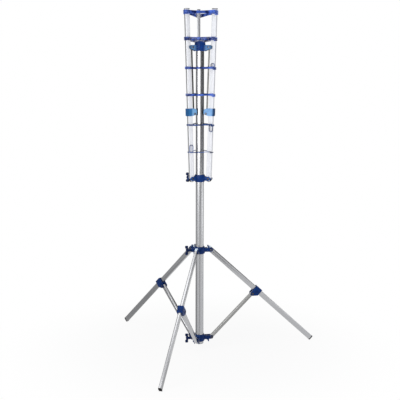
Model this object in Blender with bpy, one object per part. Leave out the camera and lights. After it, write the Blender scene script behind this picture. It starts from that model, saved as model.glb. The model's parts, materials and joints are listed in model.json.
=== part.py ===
"""Rotary clothes airer, folded, on a folding tripod.

Metres, +Z up. The origin is the centre of the flat end of the mast's foot plug, and the mast stands on +Z.
Three legs hang from a hub that slides on the mast, and struts join them to a hub at the mast's foot.
Three arms stand on a second sliding hub, and rods join them to the spider hub that caps the mast.
Each linkage lies in one upright plane, so its pieces are drawn in frames whose Y is the pivot's axis.
"""

import math

import bmesh
import bpy
from mathutils import Matrix, Vector

MM = 0.001

# Clearances
SEAT_GAP = 0.3 * MM
PIN_GAP = 0.3 * MM
FORK_GAP = 0.4 * MM
STRUT_SIDE_GAP = 1.0 * MM
STRUT_HOLE_GAP = 1.5 * MM
FOOT_HUB_GAP = 0.4 * MM
SLIDE_GAP = 1.1 * MM
ARM_HUB_GAP = 0.5 * MM
END_PROUD = 0.2 * MM

# Mast
MAST_OD = 35.0 * MM
MAST_WALL = 1.5 * MM
MAST_PAST_SPIDER = 17.0 * MM
MAST_SIDES = 32
FOOT_PLUG_RIM = 4.0 * MM
FOOT_PLUG_ROUND = 3.0 * MM
FOOT_PLUG_SPIGOT = 22.0 * MM

# Tripod
LEG_AZIMUTH = math.radians(13.16)
LEG_ANGLE = math.radians(47.17)
LEG_REACH = 630.0 * MM
LEG_DEPTH = 22.0 * MM
LEG_WIDTH = 12.0 * MM
LEG_WALL = 1.3 * MM
LEG_CORNER = 2.5 * MM
LEG_PIVOT_R = 48.0 * MM
LEG_PIVOT_Z = 416.5 * MM
COLLAR_ALONG = 278.0 * MM
COLLAR_DROP = 23.0 * MM
COLLAR_SHIFT = 8.0 * MM
COLLAR_LENGTH = 31.0 * MM
COLLAR_WALL = 4.0 * MM
COLLAR_CHEEK = 3.5 * MM
COLLAR_EYE_R = 10.0 * MM
STRUT_PIVOT_R = 52.0 * MM
STRUT_PIVOT_Z = 27.0 * MM
STRUT_DEPTH = 14.0 * MM
STRUT_WIDTH = 15.0 * MM
STRUT_WALL = 1.3 * MM
STRUT_CORNER = 2.0 * MM
PLUG_FLANGE = 4.0 * MM
PLUG_PROUD = 0.5 * MM
PLUG_SPIGOT = 16.0 * MM
SOLE_DEPTH = 1.5 * MM

# Hubs
HUB_WALL = 4.5 * MM
HUB_HALF_HEIGHT = 11.5 * MM
HUB_SIDES = 28
HUB_CHEEK = 3.4 * MM
HUB_LIP = 3.5 * MM
HUB_LIP_WALL = 2.6 * MM
LEG_EYE_R = 9.0 * MM
STRUT_EYE_R = 7.5 * MM
ARM_EYE_R = 9.0 * MM
SPIDER_EYE_R = 9.0 * MM
LUG_R = 38.0 * MM
LUG_LENGTH = 5.0 * MM
LUG_HEIGHT = 18.0 * MM
SPIDER_CROWN = 6.0 * MM
SPIDER_ROOF = 3.0 * MM

# Head
ARM_AZIMUTH = math.radians(335.0)
ARM_LEAN = math.radians(1.96)
ARM_REACH = 694.0 * MM
ARM_DEPTH = 22.0 * MM
ARM_WIDTH = 12.0 * MM
ARM_WALL = 1.2 * MM
ARM_CORNER = 3.0 * MM
ARM_PIVOT_R = 42.0 * MM
ARM_PIVOT_Z = 726.5 * MM
ARM_CAP_FLANGE = 3.0 * MM
BRACKET_ALONG = 270.5 * MM
BRACKET_DROP = 20.0 * MM
BRACKET_SHIFT = 7.5 * MM
BRACKET_LENGTH = 31.0 * MM
BRACKET_WALL = 3.0 * MM
BRACKET_CHEEK = 3.0 * MM
BRACKET_EYE_R = 13.1 * MM
ROD_DEPTH = 6.0 * MM
ROD_WIDTH = 5.0 * MM
ROD_BARREL_OD = 11.0 * MM

# Facets of small round forms
HOLE_SIDES = 10
EYE_SIDES = 16
BOSS_SIDES = 16
LOBE_SIDES = 12

# Rivets
LEG_PIN_OD = 6.0 * MM
COLLAR_PIN_OD = 5.0 * MM
ARM_PIN_OD = 5.0 * MM
PIN_HEAD_OVER = 2.2 * MM
PIN_HEAD_HEIGHT = 2.0 * MM

# Wing knobs
KNOB_BOSS_OD = 17.0 * MM
KNOB_BOSS_REACH = 36.0 * MM
KNOB_SPAN = 41.0 * MM
KNOB_LOBE_R = 6.5 * MM
KNOB_WAIST_R = 5.0 * MM
KNOB_THICK = 12.0 * MM
KNOB_WAIST_THICK = 7.5 * MM
KNOB_EDGE = 1.5 * MM
KNOB_NECK_OD = 12.0 * MM
KNOB_NECK = 15.0 * MM
STUD_OD = 6.0 * MM
STUD_IN_KNOB = 18.0 * MM

# Clotheslines, top to bottom: spread from the arm's tip to the bracket, and from the bracket to the pivot
LINE_OD = 3.0 * MM
LINE_PITCH = 3.6 * MM
LINE_TIP_INSET = 13.0 * MM
LINE_SPREAD_OVER = (1.0, 0.743, 0.457, 0.190)
LINE_SPREAD_UNDER = (0.832, 0.414)
LINE_LOOPS = (5, 4, 3, 3, 2, 1)
LINE_WAVE = 3.0 * MM
LINE_WAVE_SHARES = (0.17, 0.27, 0.40, 0.50, 0.67, 1.0)
LINE_SLACK = 2.0 * MM
LINE_TAIL = 6.0 * MM


def turned(azimuth):
    """Frame on the mast's axis whose X points out along an azimuth."""
    return Matrix.Rotation(azimuth, 4, "Z")


def plane_frame(azimuth, radius, height, tilt):
    """Frame at a pivot in an upright plane: Y is the pivot's axis, and Z leans out by the tilt."""
    seat = turned(azimuth) @ Matrix.Translation((radius, 0.0, height))
    return seat @ Matrix.Rotation(tilt, 4, "Y")


def in_plane(frame_r, frame_z, tilt, x, z):
    """Radius and height of a point given in a tilted frame of the upright plane."""
    radius = frame_r + x * math.cos(tilt) + z * math.sin(tilt)
    height = frame_z - x * math.sin(tilt) + z * math.cos(tilt)
    return radius, height


def link(start, end):
    """Length of a link in the upright plane, and its lean out from +Z."""
    out = end[0] - start[0]
    up = end[1] - start[1]
    return math.hypot(out, up), math.atan2(out, up)


# Places and sizes that follow from the driving sizes
MAST_R = MAST_OD / 2
LEG_AZIMUTHS = [LEG_AZIMUTH + i * 2 * math.pi / 3 for i in range(3)]
ARM_AZIMUTHS = [ARM_AZIMUTH + i * 2 * math.pi / 3 for i in range(3)]
LEG_KNOB_AZIMUTH = LEG_AZIMUTH + math.pi
ARM_KNOB_AZIMUTH = ARM_AZIMUTH + math.pi
COLLAR_PIVOT = in_plane(LEG_PIVOT_R, LEG_PIVOT_Z, -LEG_ANGLE, -COLLAR_DROP, -COLLAR_ALONG)
STRUT_LENGTH, STRUT_LEAN = link((STRUT_PIVOT_R, STRUT_PIVOT_Z), COLLAR_PIVOT)
BRACKET_PIVOT = in_plane(ARM_PIVOT_R, ARM_PIVOT_Z, ARM_LEAN, -BRACKET_DROP, BRACKET_ALONG)
SPIDER_PIVOT_Z = 2 * BRACKET_PIVOT[1] - ARM_PIVOT_Z
MAST_TOP_Z = SPIDER_PIVOT_Z + MAST_PAST_SPIDER
ROD_LENGTH, ROD_LEAN = link(BRACKET_PIVOT, (ARM_PIVOT_R, SPIDER_PIVOT_Z))
FLANGE_HALF = LEG_DEPTH / 2 + PLUG_PROUD
FOOT_CORNER = in_plane(LEG_PIVOT_R, LEG_PIVOT_Z, -LEG_ANGLE, -FLANGE_HALF, -LEG_REACH - PLUG_FLANGE)
FLOOR_Z = FOOT_CORNER[1] + SOLE_DEPTH
LEG_FORK = LEG_WIDTH + 2 * FORK_GAP
STRUT_FORK = STRUT_WIDTH + 2 * FORK_GAP
COLLAR_FORK = STRUT_WIDTH + 2 * STRUT_SIDE_GAP
ARM_FORK = ARM_WIDTH + 2 * FORK_GAP
SPIDER_FORK = ARM_FORK
BRACKET_FORK = ARM_WIDTH + 2 * SEAT_GAP
LINE_SPAN = ARM_REACH - LINE_TIP_INSET - BRACKET_ALONG
LINE_LEVELS = [BRACKET_ALONG + share * LINE_SPAN for share in LINE_SPREAD_OVER]
LINE_LEVELS += [share * BRACKET_ALONG for share in LINE_SPREAD_UNDER]

# Finishes: colour, roughness, metallic
BLUE = ((0.012, 0.045, 0.27), 0.35, 0.0)
DARK = ((0.02, 0.02, 0.025), 0.5, 0.0)
GREY = ((0.35, 0.36, 0.38), 0.5, 0.0)
CORD = ((0.02, 0.09, 0.5), 0.5, 0.0)
METAL = ((0.62, 0.63, 0.65), 0.35, 1.0)
STEEL = ((0.42, 0.43, 0.45), 0.3, 1.0)
GUNMETAL = ((0.16, 0.16, 0.17), 0.4, 1.0)


def clear_scene():
    for item in list(bpy.data.objects):
        bpy.data.objects.remove(item, do_unlink=True)


def finish(name, colour, roughness, metallic):
    """Plain material of one object."""
    surface = bpy.data.materials.new(name)
    surface.use_nodes = True
    shader = surface.node_tree.nodes["Principled BSDF"]
    shader.inputs["Base Color"].default_value = (*colour, 1.0)
    shader.inputs["Roughness"].default_value = roughness
    shader.inputs["Metallic"].default_value = metallic
    surface.diffuse_color = (*colour, 1.0)
    return surface


def empty(name, frame):
    """Empty that carries the pieces of one moving body, on its pivot."""
    holder = bpy.data.objects.new(name, None)
    holder.empty_display_size = MAST_OD
    holder.matrix_world = frame
    bpy.context.scene.collection.objects.link(holder)
    return holder


def shade(mesh):
    """Smooth faces, with edges kept sharp where the form turns."""
    mesh.shade_smooth()
    mesh.set_sharp_from_angle(angle=math.radians(35.0))
    return mesh


def to_mesh(form):
    """Shaded mesh of a form, with its faces outward."""
    bmesh.ops.recalc_face_normals(form, faces=form.faces)
    mesh = bpy.data.meshes.new("form")
    form.to_mesh(mesh)
    form.free()
    return shade(mesh)


def place(name, mesh, holder, surface, offset=None):
    """Named object on its body's empty, with a material of its own."""
    piece = bpy.data.objects.new(name, mesh.copy())
    bpy.context.scene.collection.objects.link(piece)
    piece.parent = holder
    piece.matrix_local = offset or Matrix.Identity(4)
    piece.data.materials.clear()
    piece.data.materials.append(finish(name, *surface))
    return piece


def helper(mesh):
    """Hidden object that only lends its shape to a cut or a join."""
    piece = bpy.data.objects.new("helper", mesh)
    piece.hide_render = True
    piece.display_type = "WIRE"
    bpy.context.scene.collection.objects.link(piece)
    return piece


def combine(mesh, operation, tools):
    """Mesh joined with, or cut by, each tool in turn."""
    body = helper(mesh)
    others = [helper(to_mesh(tool)) for tool in tools]
    for other in others:
        step = body.modifiers.new("step", "BOOLEAN")
        step.operation = operation
        step.solver = "EXACT"
        step.object = other
    graph = bpy.context.evaluated_depsgraph_get()
    graph.update()
    result = bpy.data.meshes.new_from_object(body.evaluated_get(graph))
    for item in [body, *others]:
        bpy.data.objects.remove(item, do_unlink=True)
    return shade(result)


def moved(form, frame):
    bmesh.ops.transform(form, matrix=frame, verts=form.verts)
    return form


def ring(form, outline, height):
    return [form.verts.new((spot[0], spot[1], height)) for spot in outline]


def skin(form, lower, upper):
    """Wall of quads between two rings of equal count."""
    count = len(lower)
    for i in range(count):
        j = (i + 1) % count
        form.faces.new((lower[i], lower[j], upper[j], upper[i]))


def circle(radius, sides):
    return [(radius * math.cos(2 * math.pi * i / sides), radius * math.sin(2 * math.pi * i / sides))
            for i in range(sides)]


def rounded_outline(depth, width, corner, steps=2):
    """Outline of a rounded rectangle in XY, anticlockwise."""
    points = []
    for quarter in range(4):
        side_x = 1.0 if quarter in (0, 3) else -1.0
        side_y = 1.0 if quarter in (0, 1) else -1.0
        centre = Vector((side_x * (depth / 2 - corner), side_y * (width / 2 - corner)))
        for step in range(steps + 1):
            angle = math.pi / 2 * (quarter + step / steps)
            points.append(centre + corner * Vector((math.cos(angle), math.sin(angle))))
    return points


def prism(outline, low, high):
    """Solid with one outline all the way up Z."""
    form = bmesh.new()
    bottom = ring(form, outline, low)
    top = ring(form, outline, high)
    skin(form, bottom, top)
    form.faces.new(bottom)
    form.faces.new(top)
    return form


def tube(outer, inner, low, high):
    """Open tube between an outer and an inner outline of equal count."""
    form = bmesh.new()
    rings = [ring(form, outer, low), ring(form, outer, high), ring(form, inner, high), ring(form, inner, low)]
    for i in range(4):
        skin(form, rings[i], rings[(i + 1) % 4])
    return form


def flat_tube(depth, width, wall, corner, low, high):
    """Open tube of rounded rectangular section."""
    outer = rounded_outline(depth, width, corner)
    inner = rounded_outline(depth - 2 * wall, width - 2 * wall, corner - wall)
    return to_mesh(tube(outer, inner, low, high))


def lathe(profile, sides):
    """Solid of revolution about Z from radius and height pairs; a zero radius closes an end."""
    form = bmesh.new()
    loops = []
    for radius, height in profile:
        spots = circle(radius, sides) if radius else [(0.0, 0.0)]
        loops.append(ring(form, spots, height))
    for lower, upper in zip(loops, loops[1:]):
        if len(lower) == len(upper):
            skin(form, lower, upper)
            continue
        tip, rim = (lower[0], upper) if len(lower) == 1 else (upper[0], lower)
        for i in range(sides):
            form.faces.new((tip, rim[i], rim[(i + 1) % sides]))
    return form


def bar(radius, start, end, sides):
    """Round bar between two points."""
    line = Vector(end) - Vector(start)
    form = lathe([(0.0, 0.0), (radius, 0.0), (radius, line.length), (0.0, line.length)], sides)
    turn = line.to_track_quat("Z", "Y").to_matrix().to_4x4()
    return moved(form, Matrix.Translation(start) @ turn)


def cross_bar(radius, x, z, reach, sides=HOLE_SIDES):
    """Round bar along Y, for eyes and pin holes."""
    return bar(radius, (x, -reach, z), (x, reach, z), sides)


def block(low, high):
    """Box between two corners."""
    form = bmesh.new()
    centre = (Vector(low) + Vector(high)) / 2
    size = Vector(high) - Vector(low)
    bmesh.ops.create_cube(form, size=1.0, matrix=Matrix.Translation(centre) @ Matrix.Diagonal((*size, 1.0)))
    return form


def hull(points):
    """Convex solid round some points, with its flat faces whole."""
    form = bmesh.new()
    for point in points:
        form.verts.new(point)
    result = bmesh.ops.convex_hull(form, input=form.verts)
    spare = [v for v in result["geom_interior"] if isinstance(v, bmesh.types.BMVert)]
    bmesh.ops.delete(form, geom=spare, context="VERTS")
    bmesh.ops.dissolve_limit(form, angle_limit=math.radians(0.5), verts=form.verts, edges=form.edges)
    return form


def plate(corners, eye, half_width, steps=EYE_SIDES):
    """Plate on the XZ plane: the hull of some corners and a round eye given as x, z and radius."""
    spots = list(corners)
    spots += [(eye[0] + x, eye[1] + z) for x, z in circle(eye[2], steps)]
    return hull([(x, y, z) for x, z in spots for y in (-half_width, half_width)])


def round_end(depth, width, z, way, steps=EYE_SIDES // 2):
    """Cutter that rounds a tube's end about a cross pivot at a height; the end points up or down."""
    radius = depth / 2 + END_PROUD
    out = 2 * radius
    arc = [(radius * math.cos(math.pi * i / steps), radius * math.sin(math.pi * i / steps))
           for i in range(steps + 1)]
    spots = [(out, 0.0), *arc, (-out, 0.0), (-out, out), (out, out)]
    form = prism([(x, way * up) for x, up in spots], -width, width)
    return moved(form, Matrix.Translation((0, 0, z)) @ Matrix.Rotation(math.pi / 2, 4, "X"))


def rivet(pin_od, width):
    """Rivet along Y with a domed head outside each cheek."""
    half = width / 2 + SEAT_GAP
    radius = pin_od / 2
    head = radius + PIN_HEAD_OVER
    tip = half + PIN_HEAD_HEIGHT
    shoulder = half + PIN_HEAD_HEIGHT / 2
    profile = [(0.0, -tip), (radius, -tip), (head, -shoulder), (head, -half), (radius, -half)]
    profile += [(r, -z) for r, z in reversed(profile)]
    return to_mesh(moved(lathe(profile, HOLE_SIDES), Matrix.Rotation(-math.pi / 2, 4, "X")))


def hub_mesh(clearance, azimuths, pivot_r, eye_r, fork, pin_od, knob_azimuth=None, lug=0.0, crown=False):
    """Moulded hub round the mast: a sleeve with three forked ears, and a boss for a wing knob.

    Z is zero at the pivots. A lug points up or down on each ear, and a crown closes the sleeve over the mast.
    """
    bore = MAST_R + clearance
    sleeve = bore + HUB_WALL
    lip = bore + HUB_LIP_WALL
    top = HUB_HALF_HEIGHT
    end = top + HUB_LIP
    profile = [(0.0, -end), (lip, -end), (lip, -top), (sleeve, -top)]
    bore_top = 2 * end
    if crown:
        bore_top = MAST_TOP_Z - SPIDER_PIVOT_Z + SEAT_GAP
        roof = bore_top + SPIDER_ROOF
        peak = roof + SPIDER_CROWN
        profile += [(sleeve, roof - HUB_LIP), (lip, roof), (lip / 2, peak), (0.0, peak)]
    else:
        profile += [(sleeve, top), (lip, top), (lip, end), (0.0, end)]
    width = fork + 2 * HUB_CHEEK
    root = bore + HUB_WALL / 2
    shoulder = top - HUB_LIP
    joins = []
    cuts = []
    for azimuth in azimuths:
        spin = turned(azimuth)
        ear = plate([(root, -shoulder), (root, shoulder)], (pivot_r, 0.0, eye_r), width / 2)
        joins.append(moved(ear, spin))
        if lug:
            low, high = sorted((0.0, lug * LUG_HEIGHT))
            tab = block((LUG_R - LUG_LENGTH / 2, -width / 2 + END_PROUD, low),
                        (LUG_R + LUG_LENGTH / 2, width / 2 - END_PROUD, high))
            joins.append(moved(tab, spin))
        slot = block((sleeve + FORK_GAP, -fork / 2, -3 * top), (2 * pivot_r, fork / 2, 3 * top))
        cuts.append(moved(slot, spin))
        cuts.append(moved(cross_bar(pin_od / 2 + PIN_GAP, pivot_r, 0.0, width), spin))
    if knob_azimuth is not None:
        spin = turned(knob_azimuth)
        joins.append(moved(bar(KNOB_BOSS_OD / 2, (root, 0, 0), (KNOB_BOSS_REACH, 0, 0), BOSS_SIDES), spin))
        stud_hole = bar(STUD_OD / 2 + PIN_GAP, (0, 0, 0), (2 * KNOB_BOSS_REACH, 0, 0), HOLE_SIDES)
        cuts.append(moved(stud_hole, spin))
    cuts.append(bar(bore, (0, 0, -2 * end), (0, 0, bore_top), HUB_SIDES))
    joined = combine(to_mesh(lathe(profile, HUB_SIDES)), "UNION", joins)
    return combine(joined, "DIFFERENCE", cuts)


def knob_mesh():
    """Wing knob about X: two thick lobes joined by a thinner waist, on a neck that meets the hub's boss."""
    lobe = KNOB_SPAN / 2 - KNOB_LOBE_R

    def pad(z, radius, thick):
        layers = [(0.0, KNOB_EDGE), (KNOB_EDGE, 0.0), (thick - KNOB_EDGE, 0.0), (thick, KNOB_EDGE)]
        return [(KNOB_NECK + depth, y, z + up) for depth, inset in layers
                for y, up in circle(radius - inset, LOBE_SIDES)]

    waist = hull(pad(-lobe, KNOB_WAIST_R, KNOB_WAIST_THICK) + pad(lobe, KNOB_WAIST_R, KNOB_WAIST_THICK))
    wings = [hull(pad(z, KNOB_LOBE_R, KNOB_THICK)) for z in (-lobe, lobe)]
    neck_end = KNOB_NECK + KNOB_WAIST_THICK + KNOB_EDGE
    neck = bar(KNOB_NECK_OD / 2, (SEAT_GAP, 0, 0), (neck_end, 0, 0), BOSS_SIDES)
    joined = combine(to_mesh(waist), "UNION", [*wings, neck])
    bore = bar(STUD_OD / 2 + SEAT_GAP, (-KNOB_NECK, 0, 0), (STUD_IN_KNOB + SEAT_GAP, 0, 0), HOLE_SIDES)
    return combine(joined, "DIFFERENCE", [bore])


def build_knob(prefix, hub_z, azimuth, clearance):
    """Wing knob with its stud, on a pivot of its own along the hub's boss."""
    seat = Matrix.Translation((0, 0, hub_z)) @ turned(azimuth) @ Matrix.Translation((KNOB_BOSS_REACH, 0, 0))
    holder = empty(prefix + "_knob_frame", seat)
    place(prefix + "_knob", knob_mesh(), holder, BLUE)
    tip = MAST_R + clearance - KNOB_BOSS_REACH
    stud = to_mesh(bar(STUD_OD / 2, (tip, 0, 0), (STUD_IN_KNOB, 0, 0), HOLE_SIDES))
    place(prefix + "_stud", stud, holder, STEEL)


def end_plug(depth, width, wall, corner, flange):
    """Plug for a tube's end at Z zero: a proud flange above it and a spigot inside."""
    proud = 2 * PLUG_PROUD
    cap = prism(rounded_outline(depth + proud, width + proud, corner + PLUG_PROUD), SEAT_GAP, flange)
    slim = 2 * (wall + SEAT_GAP)
    spigot = prism(rounded_outline(depth - slim, width - slim, corner - wall), -PLUG_SPIGOT, flange / 2)
    return combine(to_mesh(cap), "UNION", [spigot])


def build_mast():
    """Mast tube with its foot plug."""
    holder = empty("mast_frame", Matrix.Identity(4))
    inside = MAST_R - MAST_WALL
    walls = tube(circle(MAST_R, MAST_SIDES), circle(inside, MAST_SIDES), FOOT_PLUG_RIM + SEAT_GAP, MAST_TOP_Z)
    place("mast_tube", to_mesh(walls), holder, METAL)
    flat = MAST_R - FOOT_PLUG_ROUND
    turn = math.radians(45.0)
    mid_r = flat + FOOT_PLUG_ROUND * math.sin(turn)
    mid_z = FOOT_PLUG_ROUND * (1.0 - math.cos(turn))
    spigot = inside - SEAT_GAP
    spigot_top = FOOT_PLUG_RIM + FOOT_PLUG_SPIGOT
    profile = [(0.0, 0.0), (flat, 0.0), (mid_r, mid_z), (MAST_R, FOOT_PLUG_ROUND), (MAST_R, FOOT_PLUG_RIM)]
    profile += [(spigot, FOOT_PLUG_RIM), (spigot, spigot_top), (0.0, spigot_top)]
    place("mast_foot_plug", to_mesh(lathe(profile, MAST_SIDES)), holder, GREY)
    return holder


def leg_mesh():
    """Leg tube in the leg's frame, with its upper end rounded about the pivot."""
    walls = flat_tube(LEG_DEPTH, LEG_WIDTH, LEG_WALL, LEG_CORNER, -LEG_REACH, LEG_DEPTH)
    hole = cross_bar(LEG_PIN_OD / 2 + PIN_GAP, 0.0, 0.0, LEG_WIDTH)
    return combine(walls, "DIFFERENCE", [round_end(LEG_DEPTH, LEG_WIDTH, 0.0, 1), hole])


def foot_mesh():
    """Foot plug of a leg, with the flat sole that stands on the floor."""
    plug = end_plug(LEG_DEPTH, LEG_WIDTH, LEG_WALL, LEG_CORNER, PLUG_FLANGE)
    plug.transform(Matrix.Translation((0, 0, -LEG_REACH)) @ Matrix.Rotation(math.pi, 4, "X"))
    ground = block((0.0, -LEG_DEPTH, FLOOR_Z - LEG_DEPTH), (2 * LEG_REACH, LEG_DEPTH, FLOOR_Z))
    frame = Matrix.Translation((LEG_PIVOT_R, 0, LEG_PIVOT_Z)) @ Matrix.Rotation(-LEG_ANGLE, 4, "Y")
    return combine(plug, "DIFFERENCE", [moved(ground, frame.inverted())])


def collar_mesh():
    """Collar on a leg, whose two cheeks carry the strut's eye below it."""
    middle = -COLLAR_ALONG - COLLAR_SHIFT
    half = COLLAR_LENGTH / 2
    low, high = middle - COLLAR_LENGTH, middle + COLLAR_LENGTH
    face = LEG_DEPTH / 2 + SEAT_GAP
    slot_start = STRUT_DEPTH / 2 + END_PROUD + STRUT_SIDE_GAP - COLLAR_DROP
    corners = [(x, middle + side * half) for x in (slot_start, face + COLLAR_WALL) for side in (-1, 1)]
    width = COLLAR_FORK + 2 * COLLAR_CHEEK
    body = plate(corners, (-COLLAR_DROP, -COLLAR_ALONG, COLLAR_EYE_R), width / 2)
    way = rounded_outline(2 * face, LEG_WIDTH + 2 * SEAT_GAP, LEG_CORNER + SEAT_GAP)
    slot = block((-4 * COLLAR_DROP, -COLLAR_FORK / 2, low), (slot_start, COLLAR_FORK / 2, high))
    hole = cross_bar(COLLAR_PIN_OD / 2 + PIN_GAP, -COLLAR_DROP, -COLLAR_ALONG, width)
    return combine(to_mesh(body), "DIFFERENCE", [prism(way, low, high), slot, hole])


def strut_mesh():
    """Strut tube in the strut's frame, rounded about the pivot at each end."""
    end = STRUT_LENGTH + STRUT_DEPTH
    walls = flat_tube(STRUT_DEPTH, STRUT_WIDTH, STRUT_WALL, STRUT_CORNER, -STRUT_DEPTH, end)
    ends = [round_end(STRUT_DEPTH, STRUT_WIDTH, 0.0, -1), round_end(STRUT_DEPTH, STRUT_WIDTH, STRUT_LENGTH, 1)]
    low_hole = cross_bar(LEG_PIN_OD / 2 + PIN_GAP, 0.0, 0.0, STRUT_WIDTH)
    high_hole = cross_bar(COLLAR_PIN_OD / 2 + STRUT_HOLE_GAP, 0.0, STRUT_LENGTH, STRUT_WIDTH)
    return combine(walls, "DIFFERENCE", [*ends, low_hole, high_hole])


def build_tripod():
    """Hubs, legs, collars and struts of the tripod."""
    base = empty("tripod_base_frame", Matrix.Translation((0, 0, STRUT_PIVOT_Z)))
    slide = empty("tripod_slide_frame", Matrix.Translation((0, 0, LEG_PIVOT_Z)))
    foot_hub = hub_mesh(FOOT_HUB_GAP, LEG_AZIMUTHS, STRUT_PIVOT_R, STRUT_EYE_R, STRUT_FORK, LEG_PIN_OD,
                        LEG_KNOB_AZIMUTH, lug=-1.0)
    slide_hub = hub_mesh(SLIDE_GAP, LEG_AZIMUTHS, LEG_PIVOT_R, LEG_EYE_R, LEG_FORK, LEG_PIN_OD,
                         LEG_KNOB_AZIMUTH, lug=1.0)
    place("tripod_base_hub", foot_hub, base, BLUE)
    place("tripod_slide_hub", slide_hub, slide, BLUE)
    build_knob("tripod_base", STRUT_PIVOT_Z, LEG_KNOB_AZIMUTH, FOOT_HUB_GAP)
    build_knob("tripod_slide", LEG_PIVOT_Z, LEG_KNOB_AZIMUTH, SLIDE_GAP)
    leg, foot, collar, strut = leg_mesh(), foot_mesh(), collar_mesh(), strut_mesh()
    strut_pin = rivet(LEG_PIN_OD, STRUT_FORK + 2 * HUB_CHEEK)
    leg_pin = rivet(LEG_PIN_OD, LEG_FORK + 2 * HUB_CHEEK)
    collar_pin = rivet(COLLAR_PIN_OD, COLLAR_FORK + 2 * COLLAR_CHEEK)
    for index, azimuth in enumerate(LEG_AZIMUTHS, start=1):
        frame = empty(f"leg_{index}_frame", plane_frame(azimuth, LEG_PIVOT_R, LEG_PIVOT_Z, -LEG_ANGLE))
        place(f"leg_tube_{index}", leg, frame, METAL)
        place(f"leg_foot_{index}", foot, frame, DARK)
        place(f"leg_collar_{index}", collar, frame, BLUE)
        eye = Matrix.Translation((-COLLAR_DROP, 0, -COLLAR_ALONG))
        place(f"leg_collar_rivet_{index}", collar_pin, frame, STEEL, eye)
        strut_frame = plane_frame(azimuth, STRUT_PIVOT_R, STRUT_PIVOT_Z, STRUT_LEAN)
        lean = empty(f"leg_strut_{index}_frame", strut_frame)
        place(f"leg_strut_{index}", strut, lean, METAL)
        spin = turned(azimuth)
        strut_eye = spin @ Matrix.Translation((STRUT_PIVOT_R, 0, 0))
        place(f"leg_strut_rivet_{index}", strut_pin, base, STEEL, strut_eye)
        leg_eye = spin @ Matrix.Translation((LEG_PIVOT_R, 0, 0))
        place(f"leg_pivot_rivet_{index}", leg_pin, slide, STEEL, leg_eye)


def arm_mesh():
    """Arm tube in the arm's frame, with its lower end rounded about the pivot."""
    walls = flat_tube(ARM_DEPTH, ARM_WIDTH, ARM_WALL, ARM_CORNER, -ARM_DEPTH, ARM_REACH)
    hole = cross_bar(ARM_PIN_OD / 2 + PIN_GAP, 0.0, 0.0, ARM_WIDTH)
    return combine(walls, "DIFFERENCE", [round_end(ARM_DEPTH, ARM_WIDTH, 0.0, -1), hole])


def bracket_mesh():
    """Bracket bent round the arm's outer face, with rounded cheeks for the rod's barrel low in them."""
    face = ARM_DEPTH / 2 + SEAT_GAP
    half = BRACKET_LENGTH / 2
    middle = BRACKET_ALONG + BRACKET_SHIFT
    low, high = middle - BRACKET_LENGTH, middle + BRACKET_LENGTH
    corners = [(x, middle + side * half) for x in (-face, face + BRACKET_WALL) for side in (-1, 1)]
    width = BRACKET_FORK + 2 * BRACKET_CHEEK
    body = plate(corners, (-BRACKET_DROP, middle, BRACKET_EYE_R), width / 2)
    slot = block((-4 * BRACKET_DROP, -BRACKET_FORK / 2, low), (face, BRACKET_FORK / 2, high))
    hole = cross_bar(ARM_PIN_OD / 2 + PIN_GAP, -BRACKET_DROP, BRACKET_ALONG, width)
    return combine(to_mesh(body), "DIFFERENCE", [slot, hole])


def rod_mesh():
    """Head rod hanging from its upper pivot, with a cross barrel at each end that fills its fork."""
    shaft = prism(rounded_outline(ROD_DEPTH, ROD_WIDTH, ROD_WIDTH / 4), -ROD_LENGTH, 0.0)
    ends = ((0.0, SPIDER_FORK), (-ROD_LENGTH, BRACKET_FORK))
    barrels = [cross_bar(ROD_BARREL_OD / 2, 0.0, z, fork / 2 - SEAT_GAP, LOBE_SIDES) for z, fork in ends]
    holes = [cross_bar(ARM_PIN_OD / 2 + PIN_GAP, 0.0, z, ARM_FORK) for z, fork in ends]
    return combine(combine(to_mesh(shaft), "UNION", barrels), "DIFFERENCE", holes)


def line_points(level, loops, wave):
    """Centre of one wound line: a straight tail, then loops that climb round the three arms."""
    bend = ARM_CORNER + 2 * SEAT_GAP + LINE_OD / 2
    leave_angle = math.pi / 3
    spots_per_arm = 8
    spots_per_loop = 3 * spots_per_arm
    points = []
    for count in range(loops * spots_per_loop + 1):
        arm, step = divmod(count % spots_per_loop, spots_per_arm)
        along = level + (count / spots_per_loop - loops / 2) * LINE_PITCH
        radius = ARM_PIVOT_R + along * math.sin(ARM_LEAN) + (ARM_DEPTH / 2 - ARM_CORNER) * math.cos(ARM_LEAN)
        side = -1.0 if step < 3 else 1.0
        heart = Vector((radius, side * (ARM_WIDTH / 2 - ARM_CORNER)))
        rise = 0.0
        if step < 6:
            angle = leave_angle * (step / 2 - 1.0 if step < 3 else (step - 3) / 2)
            flat = heart + bend * Vector((math.cos(angle), math.sin(angle)))
        else:
            share = (step - 5) / 3
            leave = heart + bend * Vector((math.cos(leave_angle), math.sin(leave_angle)))
            arrive = Matrix.Rotation(2 * math.pi / 3, 2) @ Vector((leave[0], -leave[1]))
            flat = leave.lerp(arrive, share)
            flat = flat * (1.0 - LINE_SLACK / flat.length)
            rise = wave * math.sin(2 * arm + math.pi * share)
        height = ARM_PIVOT_Z + along * math.cos(ARM_LEAN) + rise
        points.append(turned(ARM_AZIMUTHS[arm]) @ Vector((flat[0], flat[1], height)))
    run = Vector((math.sin(leave_angle), math.cos(leave_angle), 0.0))
    tail = points[0] - LINE_TAIL * (turned(ARM_AZIMUTH) @ run)
    return [tail, *points]


def least_gap(points):
    """Least clear distance between spots of a line that are half a loop or more apart."""
    best = MAST_TOP_Z
    for i, first in enumerate(points):
        for second in points[i + 12:]:
            best = min(best, (first - second).length - LINE_OD)
    return best


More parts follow.
